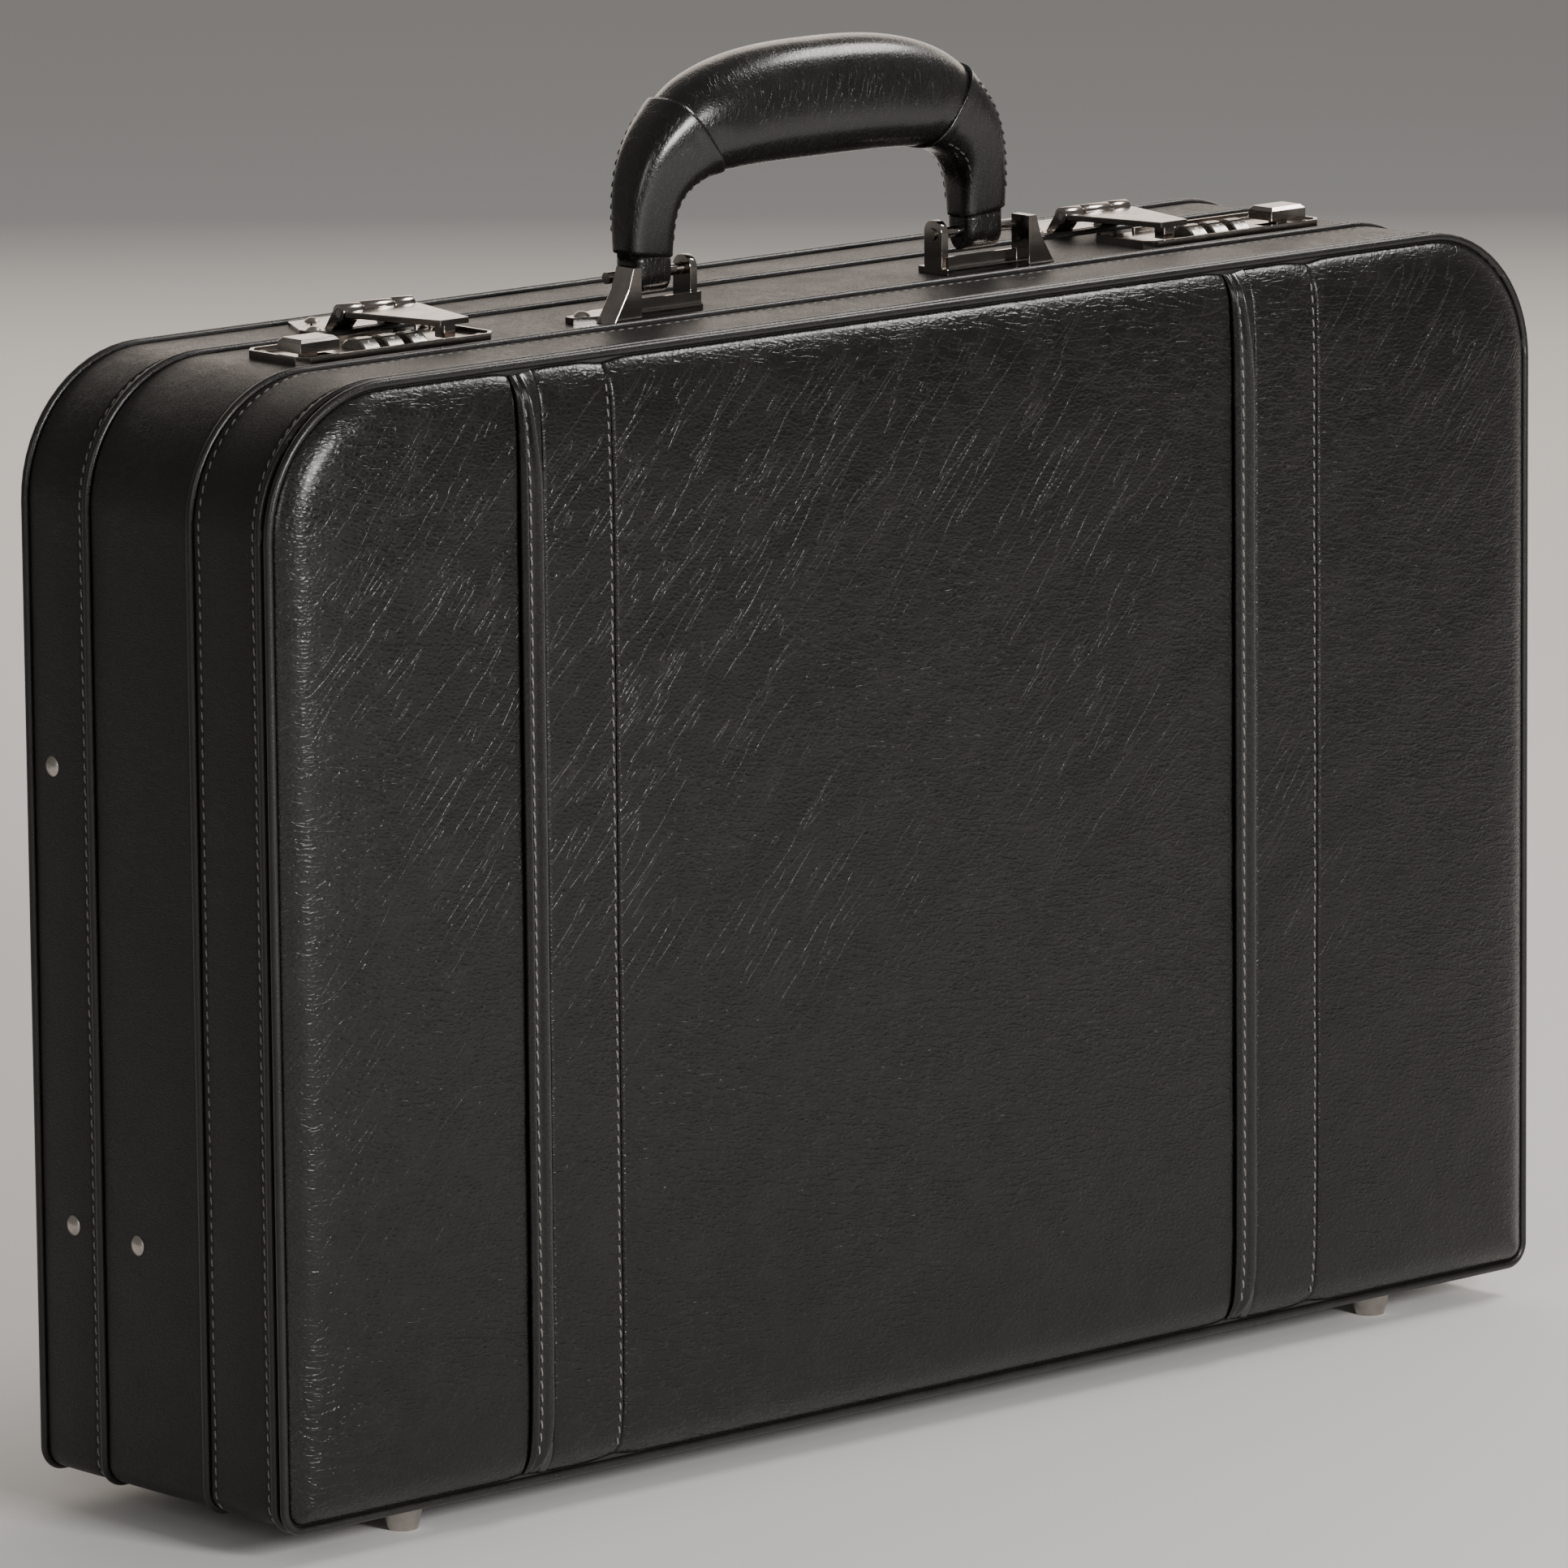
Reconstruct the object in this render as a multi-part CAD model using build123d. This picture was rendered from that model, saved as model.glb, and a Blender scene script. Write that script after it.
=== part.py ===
from build123d import *
import os

os.makedirs("parts", exist_ok=True)

# A leather attache case standing on its hinge side. X runs along the case, -Y is the front face, +Z is up.
# The origin is on the floor under the middle of the case. Lengths are in millimetres.

# Case shell
case_w = 457.0
case_h = 299.0
foot_h = 9.0
top_r = 38.0
bottom_r = 6.0
front_y = -50.25
rear_y = 50.25
split_y = 23.25
band_y = -18.4
leather_t = 1.3
frame_t = 4.0
board_t = 3.0
lining_t = 0.8
cord_r = 1.2
gap = 0.3
base_z = foot_h
top_z = foot_h + case_h
half_w = case_w / 2
frame_in = leather_t
frame_out = leather_t + frame_t
lining_out = frame_out + lining_t

# Padded front and rear faces
panel_in = 1.4
panel_depth = 5.5
rib_depth = 6.2
pad_in = 2.7
pad_depth = 4.2
welt_pitch = 3.65
rib_w = 8.0
rib_left_x = -144.0
rib_right_x = 114.0
seam_left_x = -115.5
seam_right_x = 142.0
seam_gap = 0.2

# Rim lip that the lid closes over
lip_y = 15.2
lip_reach = 29.5
lip_in = 6.6
lip_out = 8.0
lip_bottom = 14.0

# Document pocket in the lid: two layers, the front one lower
pocket_half = 190.0
pocket_t = 1.4
pocket_low = 40.0
pocket_mid = 190.0
pocket_high = 235.0

# Piano hinge along the bottom of the split
hinge_half = 190.0
hinge_clear = 2.5
hinge_r = 1.9
hinge_pin_r = 0.8
hinge_z = base_z - 0.4
knuckles = 20
leaf_w = 16.0
leaf_t = 0.8
running_gap = 0.05
leaf_rivet_out = 10.75
leaf_hole_r = 1.3
flat_head_r = 2.6
flat_head_t = 0.8

# Lid stays
stay_pivot = (8.35, base_z + 67.6)
rail_low = (35.5, base_z + 68.7)
rail_high = (40.5, base_z + 191.7)
stay_len = 122.0
stay_out_x = 220.0
stay_t = 1.4
stay_r = 4.0
rail_r = 4.5
rail_t = 1.4
rivet_r = 2.0
dome_r = 3.3

# Feet
foot_x = 179.0
foot_y = 38.5
foot_plate_t = 1.5
foot_plate_len = 19.0
foot_plate_w = 12.0
foot_plate_out = 6.5
foot_tip_r = 4.2
foot_root_r = 6.0
foot_rivet_out = 15.5
foot_rivet_r = 1.0

# Handle and its brackets
handle_y = -5.0
pin_z = top_z + 11.0
pin_r = 1.6
leg_x = 60.3
leg_w = 16.0
leg_d = 10.5
bend_r = 30.5
bend_z = top_z + 22.0
grip_z = bend_z + bend_r
grip_half = 38.0
grip_h = 31.0
grip_d = 25.0
ear_in_x = 44.5
ear_t = 2.5
ear_out_x = 70.5
ear_half = 3.6
base_half = 6.0
base_t = 1.8
base_neck_x = 74.0
base_tip_x = 87.0
base_tip_half = 1.6
bracket_rivet_x = (58.0, 82.5)
bracket_rivet_r = 1.2

# Locks
lock_in_x = 118.5
lock_out_x = 186.0
lock_front_y = -13.5
lock_rear_y = 11.5
plate_t = 1.0
rim_h = 2.2
rim_w = 1.0
lock_rivet_in = 3.8
lock_rivet_r = 0.9
housing_wall = 1.0
housing_in_x = 124.0
housing_out_x = 180.0
housing_front_y = -12.0
housing_rear_y = 8.5
housing_deep = 11.0
dial_r = 6.5
dial_w = 5.6
dial_x = (142.0, 150.2, 158.4)
dial_y = -4.2
dial_z = top_z - 2.5
axle_r = 1.5
grooves = 10
groove_half = 0.4
groove_deep = 0.5
button_in_x = 169.5
button_out_x = 183.0
button_low = top_z + 2.5
button_high = top_z + 6.2
stem_in_x = 174.5
stem_out_x = 178.5
bolt_low = top_z - 4.2
bolt_high = top_z - 3.0

# Hasps, hinged on the lid
hasp_x = 131.0
hasp_half = 12.5
hasp_tip_half = 5.0
hasp_tip_y = -10.0
hasp_knuckle_half = 5.2
barrel_r = 2.4
barrel_y = 23.0
barrel_z = top_z + 6.0
hasp_pin_r = 1.0
hasp_low = top_z + 5.0
hasp_high = top_z + 6.6
hasp_rivet_r = 1.2
hasp_plate_t = 1.2
hasp_plate_half = 18.5
hasp_plate_neck = 11.0

CENTRE = Align.CENTER
LOW = Align.MIN


def block(x0, x1, y0, y1, z0, z1):
    """A box between two corners."""
    x0, x1 = min(x0, x1), max(x0, x1)
    return Pos(x0, y0, z0) * Box(x1 - x0, y1 - y0, z1 - z0, align=(LOW, LOW, LOW))


def rod(start, direction, radius, length):
    """A round bar from a point along a direction."""
    return Plane(origin=start, z_dir=direction) * Cylinder(radius, length, align=(CENTRE, CENTRE, LOW))


def dome(start, direction, radius, height):
    """A low domed head standing on a point."""
    arc = ThreePointArc((0, height), (radius * 0.62, height * 0.72), (radius, 0))
    half = make_face(Plane.XZ * (arc + Polyline((radius, 0), (0, 0), (0, height))))
    return Plane(origin=start, z_dir=direction) * revolve(half, Axis.Z)


def outline(inset):
    """The case seen from the front, drawn in by the inset, as a face at y = 0."""
    face = Rectangle(case_w - 2 * inset, case_h - 2 * inset)
    face = fillet(face.vertices().group_by(Axis.Y)[-1], top_r - inset)
    face = fillet(face.vertices().group_by(Axis.Y)[0], max(bottom_r - inset, 0.6))
    return Plane.XZ * Pos(0, base_z + case_h / 2) * face


def slab(inset, y0, y1):
    return extrude(Pos(0, y0, 0) * outline(inset), amount=y1 - y0, dir=(0, 1, 0))


def band(outer, inner, y0, y1):
    """A closed band of the case wall, between two insets."""
    return slab(outer, y0, y1) - slab(inner, y0 - 1, y1 + 1)


def cord_ring(y):
    """A round piping cord laid all round the case."""
    path = (Pos(0, y, 0) * outline(0)).wire()
    return sweep(Plane(origin=path @ 0, z_dir=path % 0) * Circle(cord_r), path=path)


def crowned(inset, depth, edge_r, face_y, sign):
    """A padded face standing out from the board, with a rounded rim."""
    body = slab(inset, face_y, face_y + depth) if sign > 0 else slab(inset, face_y - depth, face_y)
    rim = body.edges().group_by(Axis.Y)[-1 if sign > 0 else 0]
    return fillet(rim, edge_r)


def barrel_relief(high):
    """The gap round the hinge's barrel, up to a height."""
    reach = hinge_half + 0.5
    return block(-reach, reach, split_y - hinge_clear, split_y + hinge_clear, base_z - 5, high)


def hinge_relief(side):
    """The space that the piano hinge takes out of the walls; side -1 is the case and +1 is the lid."""
    y0, y1 = sorted((split_y, split_y + side * (leaf_w + 0.1)))
    low, high = base_z + leather_t, base_z + leather_t + leaf_t
    rebate = block(-hinge_half - 0.2, hinge_half + 0.2, y0, y1, low, high)
    return rebate + barrel_relief(high + 0.05)


def hinge_leaf(side):
    """One leaf with every second knuckle."""
    low, high = base_z + leather_t, base_z + leather_t + leaf_t
    y0, y1 = sorted((split_y + side * 2.3, split_y + side * leaf_w))
    leaf = block(-hinge_half, hinge_half, y0, y1, low, high)
    pitch = 2 * hinge_half / knuckles
    web0, web1 = sorted((split_y, split_y + side * 2.4))
    for k in range(0 if side < 0 else 1, knuckles, 2):
        x0 = -hinge_half + k * pitch + gap / 2
        x1 = x0 + pitch - gap
        leaf += block(x0, x1, web0, web1, hinge_z, high)
        leaf += rod((x0, split_y, hinge_z), (1, 0, 0), hinge_r, x1 - x0)
    bore = rod((-hinge_half - 1, split_y, hinge_z), (1, 0, 0), hinge_pin_r + running_gap, 2 * hinge_half + 2)
    return leaf - bore


def leaf_rivet_places(side):
    return [(x, split_y + side * leaf_rivet_out) for x in (-175, -105, -35, 35, 105, 175)]


def leaf_rivets(side):
    """Rivets that hold a hinge leaf under the bottom wall, with flat heads inside."""
    low = base_z + leather_t
    rivets = []
    for x, y in leaf_rivet_places(side):
        shank = rod((x, y, low), (0, 0, 1), leaf_hole_r - running_gap, lining_out - leather_t)
        rivets.append(shank + rod((x, y, base_z + lining_out), (0, 0, 1), flat_head_r, flat_head_t))
    return rivets


def foot(x, y):
    """A glide: a blunt cone on an oblong base plate that runs outboard."""
    side = 1 if x > 0 else -1
    plate = SlotCenterToCenter(foot_plate_len, foot_plate_w)
    plate = Pos(x + side * foot_plate_out, y, base_z - foot_plate_t) * extrude(plate, amount=foot_plate_t)
    cone = Pos(x, y, 0) * Cone(foot_tip_r, foot_root_r, foot_h - foot_plate_t, align=(CENTRE, CENTRE, LOW))
    hole = rod((x + side * foot_rivet_out, y, base_z - 5), (0, 0, 1), foot_rivet_r + running_gap, 6)
    return plate + cone - hole


def foot_rivets(y):
    """The small rivet at the outboard end of each foot plate."""
    rivets = []
    for side in (-1, 1):
        start = (side * (foot_x + foot_rivet_out), y, base_z - foot_plate_t)
        shank = rod(start, (0, 0, 1), foot_rivet_r, foot_plate_t + frame_out)
        rivets.append(shank + dome(start, (0, 0, -1), 2.2, 0.9))
    return rivets


def side_rivet(side, y, z, inner_x):
    """A domed rivet through a side wall, ending flush inside."""
    shank = rod((side * half_w, y, z), (-side, 0, 0), rivet_r, half_w - inner_x)
    return shank + dome((side * half_w, y, z), (side, 0, 0), dome_r, 1.6)


def stay_pivot_rivet(side):
    """The rivet that a stay swings on: outer dome, spacer collar, bearing and inner head."""
    y, z = stay_pivot
    collar_in = stay_out_x + 0.25
    head_in = stay_out_x - stay_t - 0.25
    rivet = side_rivet(side, y, z, head_in)
    rivet += rod((side * (half_w - lining_out), y, z), (-side, 0, 0), 3.5, half_w - lining_out - collar_in)
    return rivet + rod((side * head_in, y, z), (-side, 0, 0), 3.5, 0.8)


def rest_slider():
    """Where the stay's slider stands on the rail with the lid shut, from the stay's length."""
    rail = Vector(*rail_high) - Vector(*rail_low)
    along = rail.normalized()
    start = Vector(*stay_pivot)
    best = min(range(0, int(rail.length * 10)),
               key=lambda k: abs((Vector(*rail_low) + along * (k / 10) - start).length - stay_len))
    return Vector(*rail_low) + along * (best / 10)


def oblong(side, p, q, radius, x0, x1):
    """A flat bar with round ends between two points of a side wall."""
    a, b = Vector(0, p[0], p[1]), Vector(0, q[0], q[1])
    length = (b - a).length
    place = Plane(origin=(side * x0, (a + b).Y / 2, (a + b).Z / 2), x_dir=b - a, z_dir=(side, 0, 0))
    return place * extrude(SlotCenterToCenter(length, 2 * radius), amount=x1 - x0)


def stay_arm(side):
    slider = rest_slider()
    tip = (slider.X, slider.Y)
    arm = oblong(side, stay_pivot, tip, stay_r, stay_out_x - stay_t, stay_out_x)
    arm += rod((side * stay_out_x, *tip), (side, 0, 0), 1.8, 0.7)
    arm += dome((side * (stay_out_x - stay_t), *tip), (-side, 0, 0), 3.0, 1.0)
    return arm - rod((side * (stay_out_x - 3), *stay_pivot), (side, 0, 0), rivet_r + running_gap, 6)


def stay_rail(side):
    """A slotted rail on the inside of the lid's side wall."""
    inner = half_w - lining_out
    rail = oblong(side, rail_low, rail_high, rail_r, inner - rail_t, inner)
    along = (Vector(*rail_high) - Vector(*rail_low)).normalized()
    a = Vector(*rail_low) + along * 6
    b = Vector(*rail_high) - along * 6
    rail -= oblong(side, (a.X, a.Y), (b.X, b.Y), 2.0, inner - rail_t - 1, inner - 0.4)
    for y, z in (rail_low, rail_high):
        rail -= rod((side * (inner - 5), y, z), (side, 0, 0), rivet_r + running_gap, 10)
    return rail


def bracket(side):
    """Handle bracket: pointed base, inboard ear, outboard gusset and a low front wall."""
    y0, y1 = handle_y - base_half, handle_y + base_half
    tip0, tip1 = handle_y - base_tip_half, handle_y + base_tip_half
    shape = Polyline((ear_in_x, y0), (base_neck_x, y0), (base_tip_x, tip0), (base_tip_x, tip1),
                     (base_neck_x, y1), (ear_in_x, y1), close=True)
    body = Pos(0, 0, top_z) * extrude(make_face(shape), amount=base_t)
    ear = block(ear_in_x, ear_in_x + ear_t, handle_y - ear_half, handle_y + ear_half, top_z, pin_z + 3.8)
    ear = fillet(ear.edges().filter_by(Axis.X).group_by(Axis.Z)[-1], 3.4)
    gusset = Polyline((ear_out_x, top_z), (ear_out_x, pin_z + 3.6), (ear_out_x + 2.8, pin_z + 3.6),
                      (ear_out_x + 4.6, top_z + 9), (ear_out_x + 10, top_z), close=True)
    gusset = Pos(0, handle_y - ear_half, 0) * extrude(make_face(Plane.XZ * gusset), amount=-2 * ear_half)
    wall = block(ear_in_x + 0.5, ear_out_x + 0.5, y0 + 0.2, y0 + 1.4, top_z, top_z + 5.2)
    body += ear + gusset + wall
    body -= rod((0, handle_y, pin_z), (1, 0, 0), pin_r, 100)
    for x in bracket_rivet_x:
        body -= rod((x, handle_y, top_z - 1), (0, 0, 1), bracket_rivet_r + running_gap, 4)
    return body if side > 0 else mirror(body, Plane.YZ)


def bracket_rivets():
    rivets = []
    for side in (-1, 1):
        for x in bracket_rivet_x:
            start = (side * x, handle_y, top_z - lining_out)
            rivet = rod(start, (0, 0, 1), bracket_rivet_r, lining_out + base_t)
            rivet += rod(start, (0, 0, -1), flat_head_r, flat_head_t)
            rivets.append(rivet + dome((side * x, handle_y, top_z + base_t), (0, 0, 1), 2.4, 1.3))
    return rivets


def handle_path(reach):
    """Centre line of the handle from its left pin; reach says how far over it is followed."""
    line = Line((-leg_x, handle_y, pin_z), (-leg_x, handle_y, bend_z))
    corner = bend_r * 0.5 ** 0.5
    mid = (-leg_x + bend_r - corner, handle_y, bend_z + corner)
    bend = ThreePointArc((-leg_x, handle_y, bend_z), mid, (-leg_x + bend_r, handle_y, grip_z))
    if reach == "bend":
        return Wire([line, bend])
    span = Line((-leg_x + bend_r, handle_y, grip_z), (leg_x - bend_r, handle_y, grip_z))
    far = (-mid[0], handle_y, mid[2])
    back = ThreePointArc((leg_x - bend_r, handle_y, grip_z), far, (leg_x, handle_y, bend_z))
    down = Line((leg_x, handle_y, bend_z), (leg_x, handle_y, pin_z))
    return Wire([line, bend, span, back, down])


def leg_section(face):
    return Plane(origin=(-leg_x, handle_y, pin_z), x_dir=(1, 0, 0), z_dir=(0, 0, 1)) * face


def handle_core():
    """The steel strip inside the handle, with an eye for each pin."""
    core = sweep(leg_section(Rectangle(3, 7)), path=handle_path("all"))
    for side in (-1, 1):
        core += rod((side * leg_x - 5, handle_y, pin_z), (1, 0, 0), 3.6, 10)
    return core - rod((-100, handle_y, pin_z), (1, 0, 0), pin_r + running_gap, 200)


def handle_wrap(side, core):
    """The leather sleeve over one leg and bend of the handle, round its pin."""
    wrap = sweep(leg_section(RectangleRounded(leg_w, leg_d, 4.4)), path=handle_path("bend"))
    wrap += rod((-leg_x - leg_w / 2, handle_y, pin_z), (1, 0, 0), leg_d / 2, leg_w)
    wrap -= block(-grip_half - 0.1, grip_half, -50, 50, top_z, top_z + 100)
    wrap = wrap if side < 0 else mirror(wrap, Plane.YZ)
    return wrap - core - rod((-100, handle_y, pin_z), (1, 0, 0), pin_r + running_gap, 200)


def handle_grip(core):
    section = Plane(origin=(-grip_half, handle_y, grip_z), x_dir=(0, 1, 0), z_dir=(1, 0, 0)) * Ellipse(
        grip_d / 2, grip_h / 2)
    grip = extrude(section, amount=2 * grip_half)
    return fillet(grip.edges().filter_by(GeomType.ELLIPSE), 3.0) - core


def lock_rivet_places():
    across = (lock_in_x + lock_rivet_in, lock_out_x - lock_rivet_in)
    return [(x, y) for x in across for y in (lock_front_y + lock_rivet_in, lock_rear_y - lock_rivet_in)]


def lock_body(side):
    """The die-cast lock: rimmed plate on the leather and a housing let into the wall below it."""
    plate = block(lock_in_x, lock_out_x, lock_front_y, lock_rear_y, top_z, top_z + rim_h)
    plate = chamfer(plate.edges().filter_by(Axis.Z), 3)
    dish = block(lock_in_x + rim_w, lock_out_x - rim_w, lock_front_y + rim_w, lock_rear_y - rim_w,
                 top_z + plate_t, top_z + rim_h + 1)
    body = plate - chamfer(dish.edges().filter_by(Axis.Z), 2.6)
    body -= block(hasp_x - 4, hasp_x + 4, lock_rear_y - 3, lock_rear_y + 1, top_z + plate_t, top_z + 9)
    housing = block(housing_in_x, housing_out_x, housing_front_y, housing_rear_y, top_z - housing_deep, top_z)
    wall = housing_wall
    housing -= block(housing_in_x + wall, housing_out_x - wall, housing_front_y + wall, housing_rear_y - wall,
                     top_z - housing_deep + wall, top_z + 1)
    body += housing
    for x in (dial_x[0] - 3.4 - 1.2, dial_x[2] + 3.4):
        low = top_z - housing_deep + 0.5
        body += block(x, x + 1.2, housing_front_y + 0.5, dial_y + 6.8, low, top_z + 0.5)
    for x in dial_x:
        body -= block(x - 3.1, x + 3.1, dial_y - 6.5, dial_y + 6.5, top_z - 0.1, top_z + 3)
    body -= block(button_in_x - 0.3, 178.8, -6.3, -2.2, top_z - 1, top_z + 3)
    body -= rod((dial_x[0] - 4.7, dial_y, dial_z), (1, 0, 0), axle_r, dial_x[2] - dial_x[0] + 9.4)
    for x, y in lock_rivet_places():
        body -= rod((x, y, top_z - 1), (0, 0, 1), lock_rivet_r + running_gap, 4)
    return body if side > 0 else mirror(body, Plane.YZ)


def lock_rivets(side):
    rivets = []
    for x, y in lock_rivet_places():
        shank = rod((side * x, y, top_z - frame_out), (0, 0, 1), lock_rivet_r, frame_out + plate_t)
        rivets.append(shank + dome((side * x, y, top_z + plate_t), (0, 0, 1), 1.6, 0.8))
    return rivets


def dial(x):
    """A number wheel with finger grooves."""
    wheel = rod((x - dial_w / 2, dial_y, dial_z), (1, 0, 0), dial_r, dial_w)
    wheel = chamfer(wheel.edges(), 0.4)
    for k in range(grooves):
        turn = Rot(360 * (k + 0.5) / grooves, 0, 0)
        cut = turn * block(-dial_w, dial_w, -groove_half, groove_half, dial_r - groove_deep, dial_r + 1)
        wheel -= Pos(x, dial_y, dial_z) * cut
    return wheel - rod((x - dial_w, dial_y, dial_z), (1, 0, 0), axle_r + running_gap, 2 * dial_w)


def slide_button(side):
    """The thumb slide with its stem and the bolt it draws inside the housing."""
    knob = block(button_in_x, button_out_x, -9, 0.5, button_low, button_high)
    knob = chamfer(knob.edges().group_by(Axis.Z)[-1], 1.0)
    stem = block(stem_in_x, stem_out_x, -6, -2.5, bolt_low, button_low)
    arm = block(stem_in_x, stem_out_x, -6, 7, bolt_low, bolt_high)
    bolt = block(133, stem_out_x, 3.5, 7, bolt_low, bolt_high)
    button = knob + stem + arm + bolt
    return button if side > 0 else mirror(button, Plane.YZ)


def hasp_rivet_places():
    return [(hasp_x - 16.2, 29), (hasp_x + 16.2, 29), (hasp_x - 6, 42), (hasp_x + 6, 42)]


def hasp_plate(side):
    """The plate on the lid that carries the hasp, with a knuckle at each end of the barrel."""
    wide, neck = hasp_plate_half, hasp_plate_neck
    shape = Polyline((hasp_x - wide, 26), (hasp_x + wide, 26), (hasp_x + wide, 32), (hasp_x + neck, 46),
                     (hasp_x - neck, 46), (hasp_x - wide, 32), close=True)
    plate = Pos(0, 0, top_z) * extrude(make_face(shape), amount=hasp_plate_t)
    cheek = Polyline((26, top_z + 0.6), (29.5, top_z + 0.6), (barrel_y + 2.2, barrel_z + 0.6),
                     (barrel_y - 0.4, barrel_z - 1.8), close=True)
    cheek = make_face(Plane.YZ * cheek)
    for x0, x1 in ((hasp_x - hasp_half, hasp_x - hasp_knuckle_half - gap),
                   (hasp_x + hasp_knuckle_half + gap, hasp_x + hasp_half)):
        plate += Pos(x0, 0, 0) * extrude(cheek, amount=x1 - x0)
        plate += rod((x0, barrel_y, barrel_z), (1, 0, 0), barrel_r, x1 - x0)
    plate -= rod((hasp_x - 20, barrel_y, barrel_z), (1, 0, 0), hasp_pin_r, 40)
    for x, y in hasp_rivet_places():
        plate -= rod((x, y, top_z - 1), (0, 0, 1), hasp_rivet_r + running_gap, 4)
    return plate if side > 0 else mirror(plate, Plane.YZ)


def hasp_plate_rivets(side):
    rivets = []
    for x, y in hasp_rivet_places():
        shank = rod((side * x, y, top_z - frame_out), (0, 0, 1), hasp_rivet_r, frame_out + hasp_plate_t)
        rivets.append(shank + dome((side * x, y, top_z + hasp_plate_t), (0, 0, 1), 2.2, 1.1))
    return rivets


def hasp(side):
    """The hasp: knuckle, tapered plate over the lock and the catch post under its tip."""
    rear = barrel_y - 2.8
    shape = Polyline((hasp_x - hasp_half, rear), (hasp_x - hasp_tip_half, hasp_tip_y),
                     (hasp_x + hasp_tip_half, hasp_tip_y), (hasp_x + hasp_half, rear), close=True)
    leaf = Pos(0, 0, hasp_low) * extrude(make_face(shape), amount=hasp_high - hasp_low)
    knuckle_x = hasp_x - hasp_knuckle_half
    leaf += block(knuckle_x, hasp_x + hasp_knuckle_half, rear - 0.5, barrel_y, hasp_low, hasp_high)
    leaf += rod((knuckle_x, barrel_y, barrel_z), (1, 0, 0), barrel_r, 2 * hasp_knuckle_half)
    leaf += block(hasp_x - 2, hasp_x + 2, -8, -4, top_z + plate_t + 0.35, hasp_low)
    leaf -= rod((hasp_x - 10, barrel_y, barrel_z), (1, 0, 0), hasp_pin_r + running_gap, 20)
    return leaf if side > 0 else mirror(leaf, Plane.YZ)


def holes(places, radius, z0, z1):
    """Upright drill holes, on both sides of the case."""
    return [rod((side * x, y, z0), (0, 0, 1), radius, z1 - z0) for x, y in places for side in (-1, 1)]


def side_holes(places):
    """Rivet holes through both side walls."""
    return [rod((side * (half_w - 12), y, z), (side, 0, 0), rivet_r + 0.05, 14)
            for y, z in places for side in (-1, 1)]


def lock_openings():
    """The cut-outs in the top wall that the lock housings are let into."""
    cuts = []
    for side in (-1, 1):
        x0, x1 = side * (housing_in_x - 0.3), side * (housing_out_x + 0.3)
        cuts.append(block(x0, x1, housing_front_y - 0.3, housing_rear_y + 0.3, top_z - 20, top_z + 1))
    return cuts


def case_wall_cuts():
    bracket_places = [(x, handle_y) for x in bracket_rivet_x]
    leaf_places = [place for place in leaf_rivet_places(-1) if place[0] > 0]
    cuts = lock_openings() + side_holes([stay_pivot])
    cuts += holes(bracket_places, bracket_rivet_r + running_gap, top_z - 9, top_z + 1)
    cuts += holes(lock_rivet_places(), lock_rivet_r + running_gap, top_z - frame_out, top_z + 1)
    cuts += holes(leaf_places, leaf_hole_r, base_z + leather_t, base_z + 9)
    foot_places = [(foot_x + foot_rivet_out, -foot_y)]
    cuts += holes(foot_places, foot_rivet_r + running_gap, base_z - 1, base_z + frame_out)
    return cuts


def lid_wall_cuts():
    leaf_places = [place for place in leaf_rivet_places(1) if place[0] > 0]
    cuts = side_holes([rail_low, rail_high])
    cuts += holes(hasp_rivet_places(), hasp_rivet_r + running_gap, top_z - frame_out, top_z + 1)
    cuts += holes(leaf_places, leaf_hole_r, base_z + leather_t, base_z + 9)
    foot_places = [(foot_x + foot_rivet_out, foot_y)]
    cuts += holes(foot_places, foot_rivet_r + running_gap, base_z - 1, base_z + frame_out)
    return cuts


def write(node, *solids):
    shape = solids[0] if len(solids) == 1 else Compound(children=list(solids))
    export_step(shape, f"parts/{node}.step")


def make_front():
    """The padded front: board, foam, five leather panels and two raised ribs."""
    pad = crowned(pad_in, pad_depth, 3.7, front_y, -1)
    skin = crowned(panel_in, panel_depth, 5.0, front_y, -1) - pad
    proud = crowned(panel_in, rib_depth, 5.5, front_y, -1) - pad
    write("front_board", slab(frame_in, front_y, front_y + board_t))
    write("front_padding", pad)
    rib = rib_w / 2
    stations = [("front_panel_left", -half_w, rib_left_x - rib),
                ("front_strip_left", rib_left_x + rib, seam_left_x),
                ("front_panel_centre", seam_left_x, rib_right_x - rib),
                ("front_strip_right", rib_right_x + rib, seam_right_x),
                ("front_panel_right", seam_right_x, half_w)]
    for node, x0, x1 in stations:
        write(node, skin & block(x0 + seam_gap / 2, x1 - seam_gap / 2, -80, 0, 0, top_z + 10))
    for node, x in (("front_rib_left", rib_left_x), ("front_rib_right", rib_right_x)):
        write(node, proud & block(x - rib + 0.05, x + rib - 0.05, -80, 0, 0, top_z + 10))


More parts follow.
